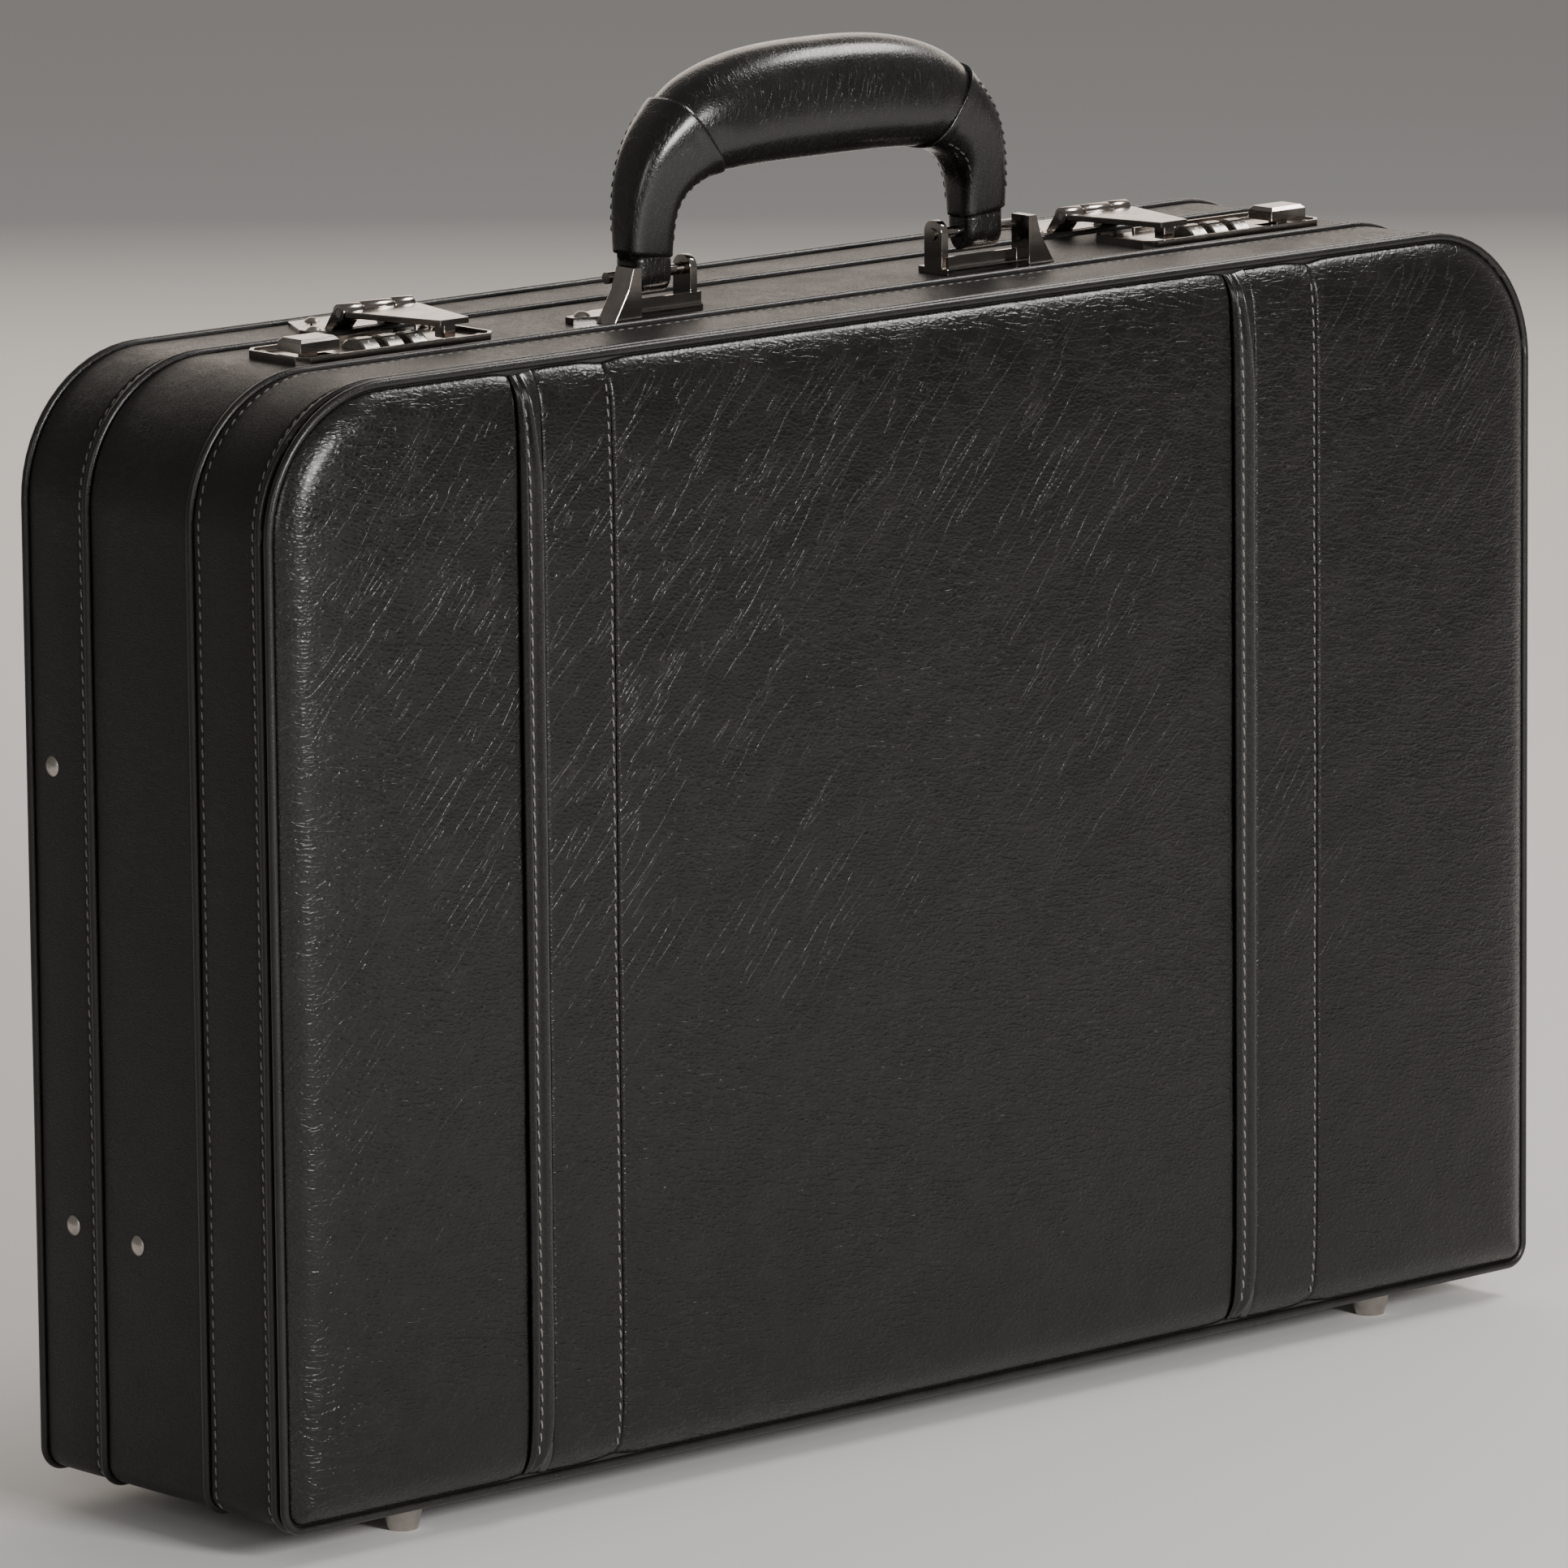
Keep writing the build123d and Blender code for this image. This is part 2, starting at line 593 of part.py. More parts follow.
def make_case():
    """The case half: frame, leather bands, piping, lining and rim lip."""
    cuts = case_wall_cuts()
    welt_y = front_y + welt_pitch
    edge = split_y - gap / 2
    write("case_frame", band(frame_in, frame_out, front_y + board_t, edge) - hinge_relief(-1) - cuts)
    write("front_band_leather", band(0, leather_t, welt_y + cord_r + 0.1, band_y - cord_r - 0.1) - cuts)
    write("middle_band_leather", band(0, leather_t, band_y + cord_r + 0.1, edge) - hinge_relief(-1) - cuts)
    welt = band(0.35, leather_t - 0.05, front_y, welt_y) + cord_ring(front_y) + cord_ring(welt_y)
    write("front_double_piping", welt)
    write("band_piping", cord_ring(band_y))
    tray = slab(frame_out, front_y + board_t, lip_y - 0.2)
    tray -= slab(lining_out, front_y + board_t + lining_t, lip_y + 1)
    write("case_lining", tray - cuts)
    lip = band(frame_out, lip_out, lip_y, edge - 0.1) + band(lip_in, lip_out, edge - 0.2, lip_reach)
    write("rim_lip", lip - block(-half_w, half_w, 0, 40, 0, base_z + lip_bottom))


def make_lid():
    """The lid half: frame, board, leather band, piping, padded rear panel, lining and pocket."""
    cuts = lid_wall_cuts()
    edge = split_y + gap / 2
    bead_y = edge + cord_r
    write("lid_frame", band(frame_in, frame_out, edge, rear_y - board_t) - hinge_relief(1) - cuts)
    write("lid_board", slab(frame_in, rear_y - board_t, rear_y))
    leather = band(0, leather_t, bead_y + cord_r + 0.1, rear_y - cord_r - 0.1)
    write("lid_band_leather", leather - hinge_relief(1) - cuts)
    write("lid_edge_piping", cord_ring(bead_y) - Pos(0, 1, 0) * barrel_relief(base_z + 5))
    write("rear_piping", cord_ring(rear_y))
    write("rear_panel", crowned(panel_in, rib_depth, 5.5, rear_y, 1))
    tray = slab(frame_out, edge + 0.6, rear_y - board_t) - slab(lining_out, 0, rear_y - board_t - lining_t)
    write("lid_lining", tray - cuts)
    back = rear_y - board_t - lining_t
    low = base_z + pocket_low
    pocket = block(-pocket_half, pocket_half, back - pocket_t, back, low, base_z + pocket_high)
    pocket += block(-pocket_half, pocket_half, back - 2 * pocket_t, back - pocket_t, low, base_z + pocket_mid)
    write("document_pocket", fillet(pocket.edges().filter_by(Axis.Y).group_by(Axis.Z)[0], 12))


def make_hinge_and_feet():
    for name, side in (("case", -1), ("lid", 1)):
        places = [place for place in leaf_rivet_places(side) if place[0] > 0]
        write(f"hinge_leaf_{name}", hinge_leaf(side) - holes(places, leaf_hole_r, 0, base_z + 9))
    write("hinge_pin", rod((-hinge_half, split_y, hinge_z), (1, 0, 0), hinge_pin_r, 2 * hinge_half))
    write("front_feet", foot(-foot_x, -foot_y), foot(foot_x, -foot_y))
    write("rear_feet", foot(-foot_x, foot_y), foot(foot_x, foot_y))


def make_stays():
    write("stay_pivots", stay_pivot_rivet(-1), stay_pivot_rivet(1))
    for name, side in (("left", -1), ("right", 1)):
        write(f"stay_rail_{name}", stay_rail(side))
        write(f"stay_arm_{name}", stay_arm(side))


def make_handle():
    core = handle_core()
    write("handle_core", core)
    write("handle_grip", handle_grip(core))
    pins = []
    for name, side in (("left", -1), ("right", 1)):
        write(f"handle_wrap_{name}", handle_wrap(side, core))
        write(f"handle_bracket_{name}", bracket(side))
        start = (side * (ear_in_x - 0.6), handle_y, pin_z)
        pins.append(rod(start, (side, 0, 0), pin_r, ear_out_x + 4 - ear_in_x))
    write("handle_pins", *pins)
    write("bracket_rivets", *bracket_rivets())


def make_locks():
    axles, pins = [], []
    axle_len = dial_x[2] - dial_x[0] + 9.2
    for name, side in (("left", -1), ("right", 1)):
        write(f"lock_body_{name}", lock_body(side))
        write(f"slide_button_{name}", slide_button(side))
        write(f"hasp_plate_{name}", hasp_plate(side))
        write(f"hasp_{name}", hasp(side))
        axles.append(rod((side * (dial_x[0] - 4.6), dial_y, dial_z), (side, 0, 0), axle_r, axle_len))
        start = (side * (hasp_x - hasp_half), barrel_y, barrel_z)
        pins.append(rod(start, (side, 0, 0), hasp_pin_r, 2 * hasp_half))
        for number, x in enumerate(dial_x, 1):
            write(f"dial_{name}_{number}", dial(side * x))
    write("dial_axles", *axles)
    write("hasp_pins", *pins)


def make_rivets():
    write("case_rivets", *leaf_rivets(-1), *foot_rivets(-foot_y), *lock_rivets(-1), *lock_rivets(1))
    rail_x = half_w - lining_out - rail_t
    rails = [side_rivet(side, *place, rail_x) for side in (-1, 1) for place in (rail_low, rail_high)]
    plates = hasp_plate_rivets(-1) + hasp_plate_rivets(1)
    write("lid_rivets", *leaf_rivets(1), *foot_rivets(foot_y), *plates, *rails)


make_front()
make_case()
make_lid()
make_hinge_and_feet()
make_stays()
make_handle()
make_locks()
make_rivets()
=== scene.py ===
import bpy
import numpy as np
from mathutils import Matrix, Vector


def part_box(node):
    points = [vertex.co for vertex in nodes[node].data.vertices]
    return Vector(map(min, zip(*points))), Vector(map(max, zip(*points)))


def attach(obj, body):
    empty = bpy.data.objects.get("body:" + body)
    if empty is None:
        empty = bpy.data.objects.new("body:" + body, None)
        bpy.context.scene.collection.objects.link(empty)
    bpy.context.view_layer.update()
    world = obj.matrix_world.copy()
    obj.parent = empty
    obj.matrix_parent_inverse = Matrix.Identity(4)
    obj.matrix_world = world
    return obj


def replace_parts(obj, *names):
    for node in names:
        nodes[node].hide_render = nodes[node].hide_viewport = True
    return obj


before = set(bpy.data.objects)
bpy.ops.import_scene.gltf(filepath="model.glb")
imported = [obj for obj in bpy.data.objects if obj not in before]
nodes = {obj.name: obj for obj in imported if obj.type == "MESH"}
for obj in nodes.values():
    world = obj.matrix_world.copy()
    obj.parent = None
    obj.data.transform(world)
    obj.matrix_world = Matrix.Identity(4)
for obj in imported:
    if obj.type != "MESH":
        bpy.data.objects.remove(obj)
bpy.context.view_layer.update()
print("frame loaded:", len(nodes), "nodes")

mm = 0.001
halfPi = np.pi / 2

# the case, read from the frame; the corner radii are those of the leather outside
bandLow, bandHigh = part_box("middle_band_leather")
case = {
    "half": bandHigh.x,
    "base": bandLow.z,
    "top": bandHigh.z,
    "topCorner": 38 * mm,
    "bottomCorner": 6 * mm,
    "front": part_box("front_board")[0].y,
    "rear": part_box("lid_board")[1].y,
}


view = {
    "azimuth": -41.67,
    "elevation": 10.63,
    "roll": -0.53,
    "lens": 272.05,
    "distance": 3.25215,
    "target": (0.00132, 0.00975, 0.16968),
}


def putIn(thing):
    bpy.context.scene.collection.objects.link(thing)
    return thing


def aimCamera():
    # the camera stands on a sphere round the target and looks at it, rolled a little about its own line
    azimuth, elevation, roll = (np.radians(view[key]) for key in ("azimuth", "elevation", "roll"))
    level = np.cos(elevation)
    back = Vector((np.sin(azimuth) * level, -np.cos(azimuth) * level, np.sin(elevation)))
    right = (-back).cross(Vector((0, 0, 1))).normalized()
    up = right.cross(-back)
    turnedRight = right * np.cos(roll) + up * np.sin(roll)
    turnedUp = up * np.cos(roll) - right * np.sin(roll)
    camera = putIn(bpy.data.objects.new("camera", bpy.data.cameras.new("camera")))
    camera.data.lens = view["lens"]
    camera.data.sensor_width = 36
    camera.data.clip_end = 60
    axes = Matrix((turnedRight, turnedUp, back)).transposed().to_4x4()
    camera.matrix_world = Matrix.Translation(Vector(view["target"]) + back * view["distance"]) @ axes
    bpy.context.scene.camera = camera


lamps = {
    # name: place, what it points at, width and height in metres, watts, colour
    "backPanel": ((1.35, 1.5, 0.98), (0, 0, 0.25), (3.4, 1.1), 21, (1, 0.87, 0.76)),
    "overhead": ((1.05, -0.22, 1.42), (0, 0, 0.3), (0.6, 0.36), 13, (1, 0.97, 0.94)),
    "key": ((-0.05, -1.75, 0.72), (-0.2, 0, 0.28), (0.44, 0.44), 29, (1, 0.99, 0.98)),
    "leftWindow": ((-2.0, -1.35, 0.9), (0, 0, 0.2), (0.7, 1.0), 9, (1, 0.98, 0.96)),
}


def hangLamps():
    for name, (place, target, size, power, colour) in lamps.items():
        data = bpy.data.lights.new(name, "AREA")
        data.shape = "RECTANGLE"
        data.size, data.size_y = size
        data.energy = power
        data.color = colour
        lamp = putIn(bpy.data.objects.new(name, data))
        lamp.location = place
        lamp.rotation_euler = (Vector(target) - Vector(place)).to_track_quat("-Z", "Y").to_euler()


class Wire:
    # a shader socket that can stand in a sum; each operator adds one Math node
    def __init__(self, finish, socket):
        self.finish, self.socket = finish, socket

    def joined(self, operation, *values):
        return self.finish.node("ShaderNodeMath", {"operation": operation}, dict(enumerate(values)))

    def __add__(self, other):
        return self.joined("ADD", self, other)

    def __sub__(self, other):
        return self.joined("SUBTRACT", self, other)

    def __rsub__(self, other):
        return self.joined("SUBTRACT", other, self)

    def __mul__(self, other):
        return self.joined("MULTIPLY", self, other)

    def __abs__(self):
        return self.joined("ABSOLUTE", self)

    __radd__ = __add__


class Finish:
    # one material while it is being wired
    def __init__(self, name):
        self.material = bpy.data.materials.new(name)
        self.material.use_nodes = True
        self.tree = self.material.node_tree
        self.tree.nodes.clear()

    def node(self, kind, settings, values, out=0):
        made = self.tree.nodes.new(kind)
        for key, value in settings.items():
            setattr(made, key, value)
        for key, value in values.items():
            if isinstance(value, Wire):
                self.tree.links.new(value.socket, made.inputs[key])
            else:
                made.inputs[key].default_value = value
        return Wire(self, made.outputs[out]) if len(made.outputs) else made

    def place(self, size=(1, 1, 1), turn=(0, 0, 0)):
        # object coordinates, turned and then divided by a size, so that a pattern of scale 1 has that size
        spot = self.node("ShaderNodeTexCoord", {}, {}, "Object")
        values = {"Vector": spot, "Rotation": tuple(np.radians(turn)), "Scale": size}
        return self.node("ShaderNodeMapping", {"vector_type": "TEXTURE"}, values)

    def rise(self):
        # height above the floor
        return self.node("ShaderNodeSeparateXYZ", {}, {"Vector": self.place()}, "Z")

    def noise(self, place, scale=1.0, detail=2.0, rough=0.5, out=0):
        values = {"Vector": place, "Scale": scale, "Detail": detail, "Roughness": rough}
        return self.node("ShaderNodeTexNoise", {}, values, out)

    def warped(self, place, scale, amount):
        # the place pushed about by a coloured noise
        push = self.noise(place, scale, 1, out=1)
        values = {0: push, 1: (amount,) * 3, 2: place}
        return self.node("ShaderNodeVectorMath", {"operation": "MULTIPLY_ADD"}, values)

    def cells(self, place, scale=1.0):
        # distance from the nearest border between cells
        values = {"Vector": place, "Scale": scale}
        return self.node("ShaderNodeTexVoronoi", {"feature": "DISTANCE_TO_EDGE"}, values)

    def step(self, value, low, high, start=0.0, stop=1.0):
        # eases from start to stop while the value goes from low to high
        values = {"Value": value, "From Min": low, "From Max": high, "To Min": start, "To Max": stop}
        return self.node("ShaderNodeMapRange", {"interpolation_type": "SMOOTHSTEP"}, values)

    def mix(self, factor, first, second):
        def colour(value):
            return value if isinstance(value, Wire) else (*value, 1)

        values = {0: factor, 6: colour(first), 7: colour(second)}
        return self.node("ShaderNodeMix", {"data_type": "RGBA", "clamp_factor": True}, values, 2)

    def attribute(self, name):
        return self.node("ShaderNodeAttribute", {"attribute_name": name}, {}, "Fac")

    def close(self, colour, roughness, height, depth, fixed):
        # the shader itself: a bump of that depth in metres, and fixed values straight on its sockets
        bump = self.node("ShaderNodeBump", {}, {"Height": height, "Distance": depth, "Strength": 1.0})
        values = {"Base Color": colour, "Roughness": roughness, "Normal": bump, **fixed}
        shader = self.node("ShaderNodeBsdfPrincipled", {}, values)
        self.node("ShaderNodeOutputMaterial", {}, {"Surface": shader})
        return self.material


# what every leather here has in common
hide = {
    "cellWarp": (0.35, 1.3),  # scale and amount of the noise that pushes the cells about
    "foldWarp": (0.8, 0.8),
    "smallScale": 2.3,  # small cells to one large cell
    "smallCrack": 0.4,
    "poreScale": 2400,
    "poreShare": 0.03,
    "patchScale": 13,
    "patchEdge": (0.4, 0.6),
    "patchLeft": 0.2,  # what is left of the creases outside the patches
    "wrinkleLoss": 0.7,  # what the wrinkles lose inside them
    "smallTone": 0.25,  # the small cells' say in the tone
    "tintEdge": (0.35, 0.75),
    "tintShare": 0.5,
    # the wrinkles' share of the painted highlight along the creases
    "wrinkleHighlight": 0.5,
    "wornEdge": (0.3, 0.7),
    "crackRough": 0.14,
    "swellRough": 0.2,
    "creaseGloss": 0.06,
    "rubGloss": 0.05,
    "coatRough": 0.2,
}


def folds(finish, size, turn, width):
    # thin lines where a noise stretched along one direction crosses its middle value
    along = finish.warped(finish.place(size, turn), *hide["foldWarp"])
    return finish.step(abs(finish.noise(along) - 0.5), 0.0, width, 1.0, 0.0)


def leather(name, look):
    # grain is a net of rounded cells; long creases and short wrinkles take turns over the skin,
    # and the creases die away towards the bottom
    finish = Finish(name)
    place = finish.warped(finish.place(look["cell"]), *hide["cellWarp"])
    grain = finish.step(finish.cells(place), 0.0, look["crackWidth"])
    small = finish.step(finish.cells(place, hide["smallScale"]), 0.0, hide["smallCrack"])
    pores = finish.noise(finish.place(), hide["poreScale"], 2)
    swell = finish.noise(finish.place(), look["swellScale"], 3)
    patch = finish.step(finish.noise(finish.place(), hide["patchScale"], 2), *hide["patchEdge"])
    upper = finish.step(finish.rise(), *look["creaseRise"], look["creaseLeft"], 1.0)
    crease = folds(finish, look["creaseSize"], look["creaseTurn"], look["creaseWidth"])
    crease = crease * (patch * (1 - hide["patchLeft"]) + hide["patchLeft"]) * upper
    wrinkle = folds(finish, look["wrinkleSize"], look["wrinkleTurn"], look["wrinkleWidth"])
    wrinkle = wrinkle * (1 - patch * hide["wrinkleLoss"])
    height = grain * look["grainShare"] + small * look["smallShare"] + pores * hide["poreShare"]
    height = height + swell * look["swellShare"] + crease * look["creaseShare"]
    height = height + wrinkle * look["wrinkleShare"]
    rub = finish.attribute("rub")
    height = height * (1 - rub * look["drawn"])
    cellTone = grain * (1 - hide["smallTone"]) + small * hide["smallTone"]
    tone = finish.mix(cellTone, look["deep"], look["colour"])
    tone = finish.mix(finish.step(swell, *hide["tintEdge"]) * hide["tintShare"], tone, look["tint"])
    # painted highlight: the creases and wrinkles are coloured towards the pale colour, as though they caught
    # the light
    tone = finish.mix((crease + wrinkle * hide["wrinkleHighlight"]) * look["creaseHighlight"], tone, look["wornAndSheen"])
    # real wear: the rubbed edges are speckled with the same pale colour
    tone = finish.mix(rub * finish.step(pores, *hide["wornEdge"]) * look["wear"], tone, look["wornAndSheen"])
    rough = look["rough"] + (1 - grain) * hide["crackRough"] + (swell - 0.5) * hide["swellRough"]
    rough = rough - crease * hide["creaseGloss"] - rub * hide["rubGloss"]
    fixed = {
        "Specular IOR Level": look["gloss"],
        "Coat Weight": look["coat"],
        "Coat Roughness": hide["coatRough"],
    }
    return finish.close(tone, rough, height, look["bump"], fixed)


bandLook = {
    "cell": (0.8 * mm, 0.8 * mm, 0.8 * mm),
    "crackWidth": 0.22,
    "grainShare": 0.5,
    "smallShare": 0.25,
    "swellScale": 70,
    "swellShare": 0.8,
    "creaseSize": (9 * mm, 9 * mm, 2 * mm),
    "creaseTurn": (0, -20, 0),
    "creaseWidth": 0.06,
    "creaseShare": 0.15,
    # how much of the pale colour is painted along the creases as a highlight
    "creaseHighlight": 0.1,
    "creaseRise": (50 * mm, 260 * mm),  # the heights between which the creases come to full strength
    "creaseLeft": 0.22,  # their strength below that
    "wrinkleSize": (4 * mm, 4 * mm, 1.2 * mm),
    "wrinkleTurn": (0, 6, 0),
    "wrinkleWidth": 0.06,
    "wrinkleShare": 0.1,
    "deep": (0.0035, 0.0031, 0.0030),
    "colour": (0.0070, 0.0060, 0.0056),
    "tint": (0.0100, 0.0086, 0.0080),
    # pale colour of wear on the rubbed edges, also painted along the creases as a highlight
    "wornAndSheen": (0.045, 0.041, 0.038),
    "wear": 0.35,
    "drawn": 0.2,  # how far the relief is drawn smooth over the edges
    "rough": 0.38,
    "gloss": 0.34,
    "coat": 0.0,
    "bump": 0.07 * mm,
}

panelLook = dict(
    bandLook,
    cell=(2.1 * mm, 1.6 * mm, 1.3 * mm),
    crackWidth=0.38,
    grainShare=0.26,
    smallShare=0.03,
    swellScale=70,
    swellShare=1.3,
    creaseSize=(34 * mm, 8 * mm, 5 * mm),
    creaseTurn=(0, -46, 0),
    creaseWidth=0.026,
    creaseShare=0.45,
    creaseHighlight=0.11,
    wrinkleSize=(10 * mm, 4 * mm, 2.2 * mm),
    wrinkleWidth=0.08,
    wrinkleShare=0.46,
    gloss=0.27,
    deep=(0.0026, 0.0022, 0.0021),
    colour=(0.0052, 0.0044, 0.0041),
    tint=(0.0076, 0.0064, 0.0060),
    wornAndSheen=(0.06, 0.056, 0.052),
    drawn=0.7,
    rough=0.2,
    coat=0.22,
    bump=0.27 * mm,
)

ribLook = dict(
    panelLook,
    drawn=0.3,
    swellShare=1.2,
    creaseShare=0.2,
    wrinkleSize=(3 * mm, 4 * mm, 1.6 * mm),
    rough=0.24,
    coat=0.6,
    bump=0.13 * mm,
)

handleLook = dict(
    panelLook,
    cell=(1.0 * mm, 1.4 * mm, 1.0 * mm),
    swellScale=110,
    swellShare=1.4,
    creaseSize=(2.6 * mm, 9 * mm, 9 * mm),
    creaseTurn=(0, 12, 0),
    creaseShare=0.36,
    wrinkleSize=(1.6 * mm, 5 * mm, 6 * mm),
    rough=0.2,
    coat=0.6,
    bump=0.12 * mm,
)

pipingLook = dict(
    bandLook,
    cell=(0.9 * mm, 0.9 * mm, 0.9 * mm),
    swellScale=160,
    creaseShare=0.4,
    # colours lighter than the band leather's: a painted highlight along the piping's beads
    deep=(0.005, 0.0044, 0.0041),
    colour=(0.010, 0.0086, 0.0080),
    tint=(0.014, 0.0122, 0.0114),
    wear=0.1,
    rough=0.3,
    coat=0.22,
    bump=0.05 * mm,
)


def metal(name, look):
    # polished metal with a faint brushed streak, smudges in the gloss and small pits
    finish = Finish(name)
    streak = finish.noise(finish.place(look["streak"]), 1.0, 3)
    smudge = finish.noise(finish.place(), look["smudge"], 3)
    pits = finish.noise(finish.place(), look["pits"], 2)
    tone = finish.mix(finish.step(smudge, *look["shadeEdge"]), look["colour"], look["shade"])
    rough = look["rough"] + (smudge - 0.5) * look["patchy"] + (streak - 0.5) * look["streaky"]
    height = streak * look["streakShare"] + pits * look["pitShare"]
    return finish.close(tone, rough, height, look["bump"], {"Metallic": 1.0})


gunmetalLook = {
    "colour": (0.38, 0.345, 0.32),
    "shade": (0.26, 0.235, 0.215),
    "rough": 0.15,
    "shadeEdge": (0.3, 0.75),
    "patchy": 0.12,  # how far smudges and streaks change the roughness
    "streaky": 0.12,
    "streak": (6 * mm, 0.25 * mm, 1 * mm),
    "smudge": 140,
    "pits": 2200,
    "streakShare": 0.6,
    "pitShare": 0.3,
    "bump": 0.006 * mm,
}
wheelLook = dict(gunmetalLook, colour=(0.33, 0.31, 0.285), shade=(0.22, 0.205, 0.19), rough=0.26)
nickelLook = dict(
    gunmetalLook, colour=(0.50, 0.46, 0.42), shade=(0.33, 0.30, 0.275), rough=0.32, patchy=0.2
)
steelLook = dict(gunmetalLook, colour=(0.48, 0.47, 0.46), shade=(0.36, 0.355, 0.35), rough=0.34)


def shaded(colour, share):
    return tuple(share * value for value in colour)


twistLook = {
    "size": (0.5 * mm, 0.5 * mm, 0.22 * mm),
    "turn": (30, 35, 0),
    "edge": (0.35, 0.65),
    "shade": 0.55,
    "rough": (0.6, 0.2),  # least, and what the pattern adds
    "bump": 0.08 * mm,
    "sheen": 0.2,
}


def threadFinish(name, colour):
    # twisted thread: slanting ridges along the stitch
    finish = Finish(name)
    twist = finish.noise(finish.place(twistLook["size"], twistLook["turn"]), 1.0, 1)
    tone = finish.mix(finish.step(twist, *twistLook["edge"]), shaded(colour, twistLook["shade"]), colour)
    least, more = twistLook["rough"]
    fixed = {"Sheen Weight": twistLook["sheen"]}
    return finish.close(tone, twist * more + least, twist, twistLook["bump"], fixed)


clothLook = {
    "pitch": 0.9 * mm,
    "stray": 0.4,  # how far the yarns wander
    "crossing": 0.5,
    "fuzz": 900,
    "patch": 25,
    "toneShares": (0.6, 0.4),  # of weave and fuzz
    "shades": (0.5, 1.5),
    "patchEdge": (0.4, 0.8),
    "patchShare": 0.3,
    "rough": (0.78, 0.15),
    "fuzzShare": 0.5,
    "bump": 0.12 * mm,
    "sheen": 0.15,
}


def cloth(name, colour):
    # plain weave: two sets of ridges at right angles, one lifted where the other dips
    finish = Finish(name)
    spot = finish.node("ShaderNodeTexCoord", {}, {}, "Object")
    waves = []
    for direction in ("X", "Y", "Z"):
        settings = {"wave_type": "BANDS", "bands_direction": direction}
        values = {"Vector": spot, "Scale": 1 / clothLook["pitch"], "Distortion": clothLook["stray"]}
        waves.append(finish.node("ShaderNodeTexWave", settings, values))
    weave = waves[0] * waves[2] + waves[1] * clothLook["crossing"]
    fuzz = finish.noise(spot, clothLook["fuzz"], 3)
    patch = finish.noise(spot, clothLook["patch"], 3)
    weaveShare, fuzzShare = clothLook["toneShares"]
    dark, pale = (shaded(colour, share) for share in clothLook["shades"])
    tone = finish.mix(weave * weaveShare + fuzz * fuzzShare, dark, colour)
    tone = finish.mix(finish.step(patch, *clothLook["patchEdge"]) * clothLook["patchShare"], tone, pale)
    least, more = clothLook["rough"]
    height = weave + fuzz * clothLook["fuzzShare"]
    fixed = {"Sheen Weight": clothLook["sheen"]}
    return finish.close(tone, fuzz * more + least, height, clothLook["bump"], fixed)


boardLook = {
    "fibre": (3 * mm, 0.7 * mm, 0.7 * mm),
    "mottle": 60,
    "edge": (0.3, 0.7),
    "pale": 1.8,
    "rough": (0.55, 0.2),
    "bump": 0.1 * mm,
}


def board(name, colour):
    # pressed fibre board, painted: short fibres and a mottled tone
    finish = Finish(name)
    fibre = finish.noise(finish.place(boardLook["fibre"]), 1.0, 3)
    mottle = finish.noise(finish.place(), boardLook["mottle"], 3)
    tone = finish.mix(finish.step(mottle, *boardLook["edge"]), colour, shaded(colour, boardLook["pale"]))
    least, more = boardLook["rough"]
    return finish.close(tone, fibre * more + least, fibre, boardLook["bump"], {})


finishes = {
    "band": leather("bandLeather", bandLook),
    "panel": leather("panelLeather", panelLook),
    "rib": leather("ribLeather", ribLook),
    "handle": leather("handleLeather", handleLook),
    "piping": leather("pipingLeather", pipingLook),
    "gunmetal": metal("gunmetal", gunmetalLook),
    "wheel": metal("wheelMetal", wheelLook),
    "nickel": metal("satinNickel", nickelLook),
    "steel": metal("brushedSteel", steelLook),
    "thread": threadFinish("greyThread", (0.2, 0.186, 0.175)),
    "paleThread": threadFinish("paleThread", (0.28, 0.262, 0.25)),
    "darkThread": threadFinish("darkThread", (0.05, 0.046, 0.044)),
    "lining": cloth("liningCloth", (0.05, 0.046, 0.043)),
    "board": board("paintedBoard", (0.012, 0.011, 0.011)),
    "ink": board("dialPaint", (0.55, 0.54, 0.52)),
}
print("finishes ready:", len(finishes))


def makeMesh(name, points, faces, finish, body, rub=None):
    points = np.asarray(points, float)
    mesh = bpy.data.meshes.new(name)
    mesh.from_pydata(points.tolist(), [], faces if isinstance(faces, list) else faces.tolist())
    if rub is not None:
        layer = mesh.attributes.new("rub", "FLOAT", "POINT")
        layer.data.foreach_set("value", np.asarray(rub, np.float32).ravel())
    mesh.shade_smooth()
    mesh.materials.append(finishes[finish])
    piece = putIn(bpy.data.objects.new(name, mesh))
    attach(piece, body)
    return piece


def gridQuads(rows, columns, wrap=False, flip=False):
    # quads between neighbours of a grid of points; wrap joins the last column to the first
    index = np.arange(rows * columns).reshape(rows, columns)
    if wrap:
        index = np.concatenate([index, index[:, :1]], 1)
    quads = np.stack([index[:-1, :-1], index[1:, :-1], index[1:, 1:], index[:-1, 1:]], -1)
    return quads[..., ::-1] if flip else quads


def sheetPiece(name, points, finish, body, skin, flip=False, keep=None, rub=None):
    # an open sheet on a grid, given a thickness on its inner side
    rows, columns = points.shape[:2]
    quads = gridQuads(rows, columns, flip=flip)
    quads = quads[keep] if keep is not None else quads.reshape(-1, 4)
    used, faces = np.unique(quads, return_inverse=True)
    marks = None if rub is None else rub.reshape(-1)[used]
    piece = makeMesh(name, points.reshape(-1, 3)[used], faces.reshape(-1, 4), finish, body, marks)
    wall = piece.modifiers.new("skin", "SOLIDIFY")
    wall.thickness = skin
    wall.offset = -1
    return piece


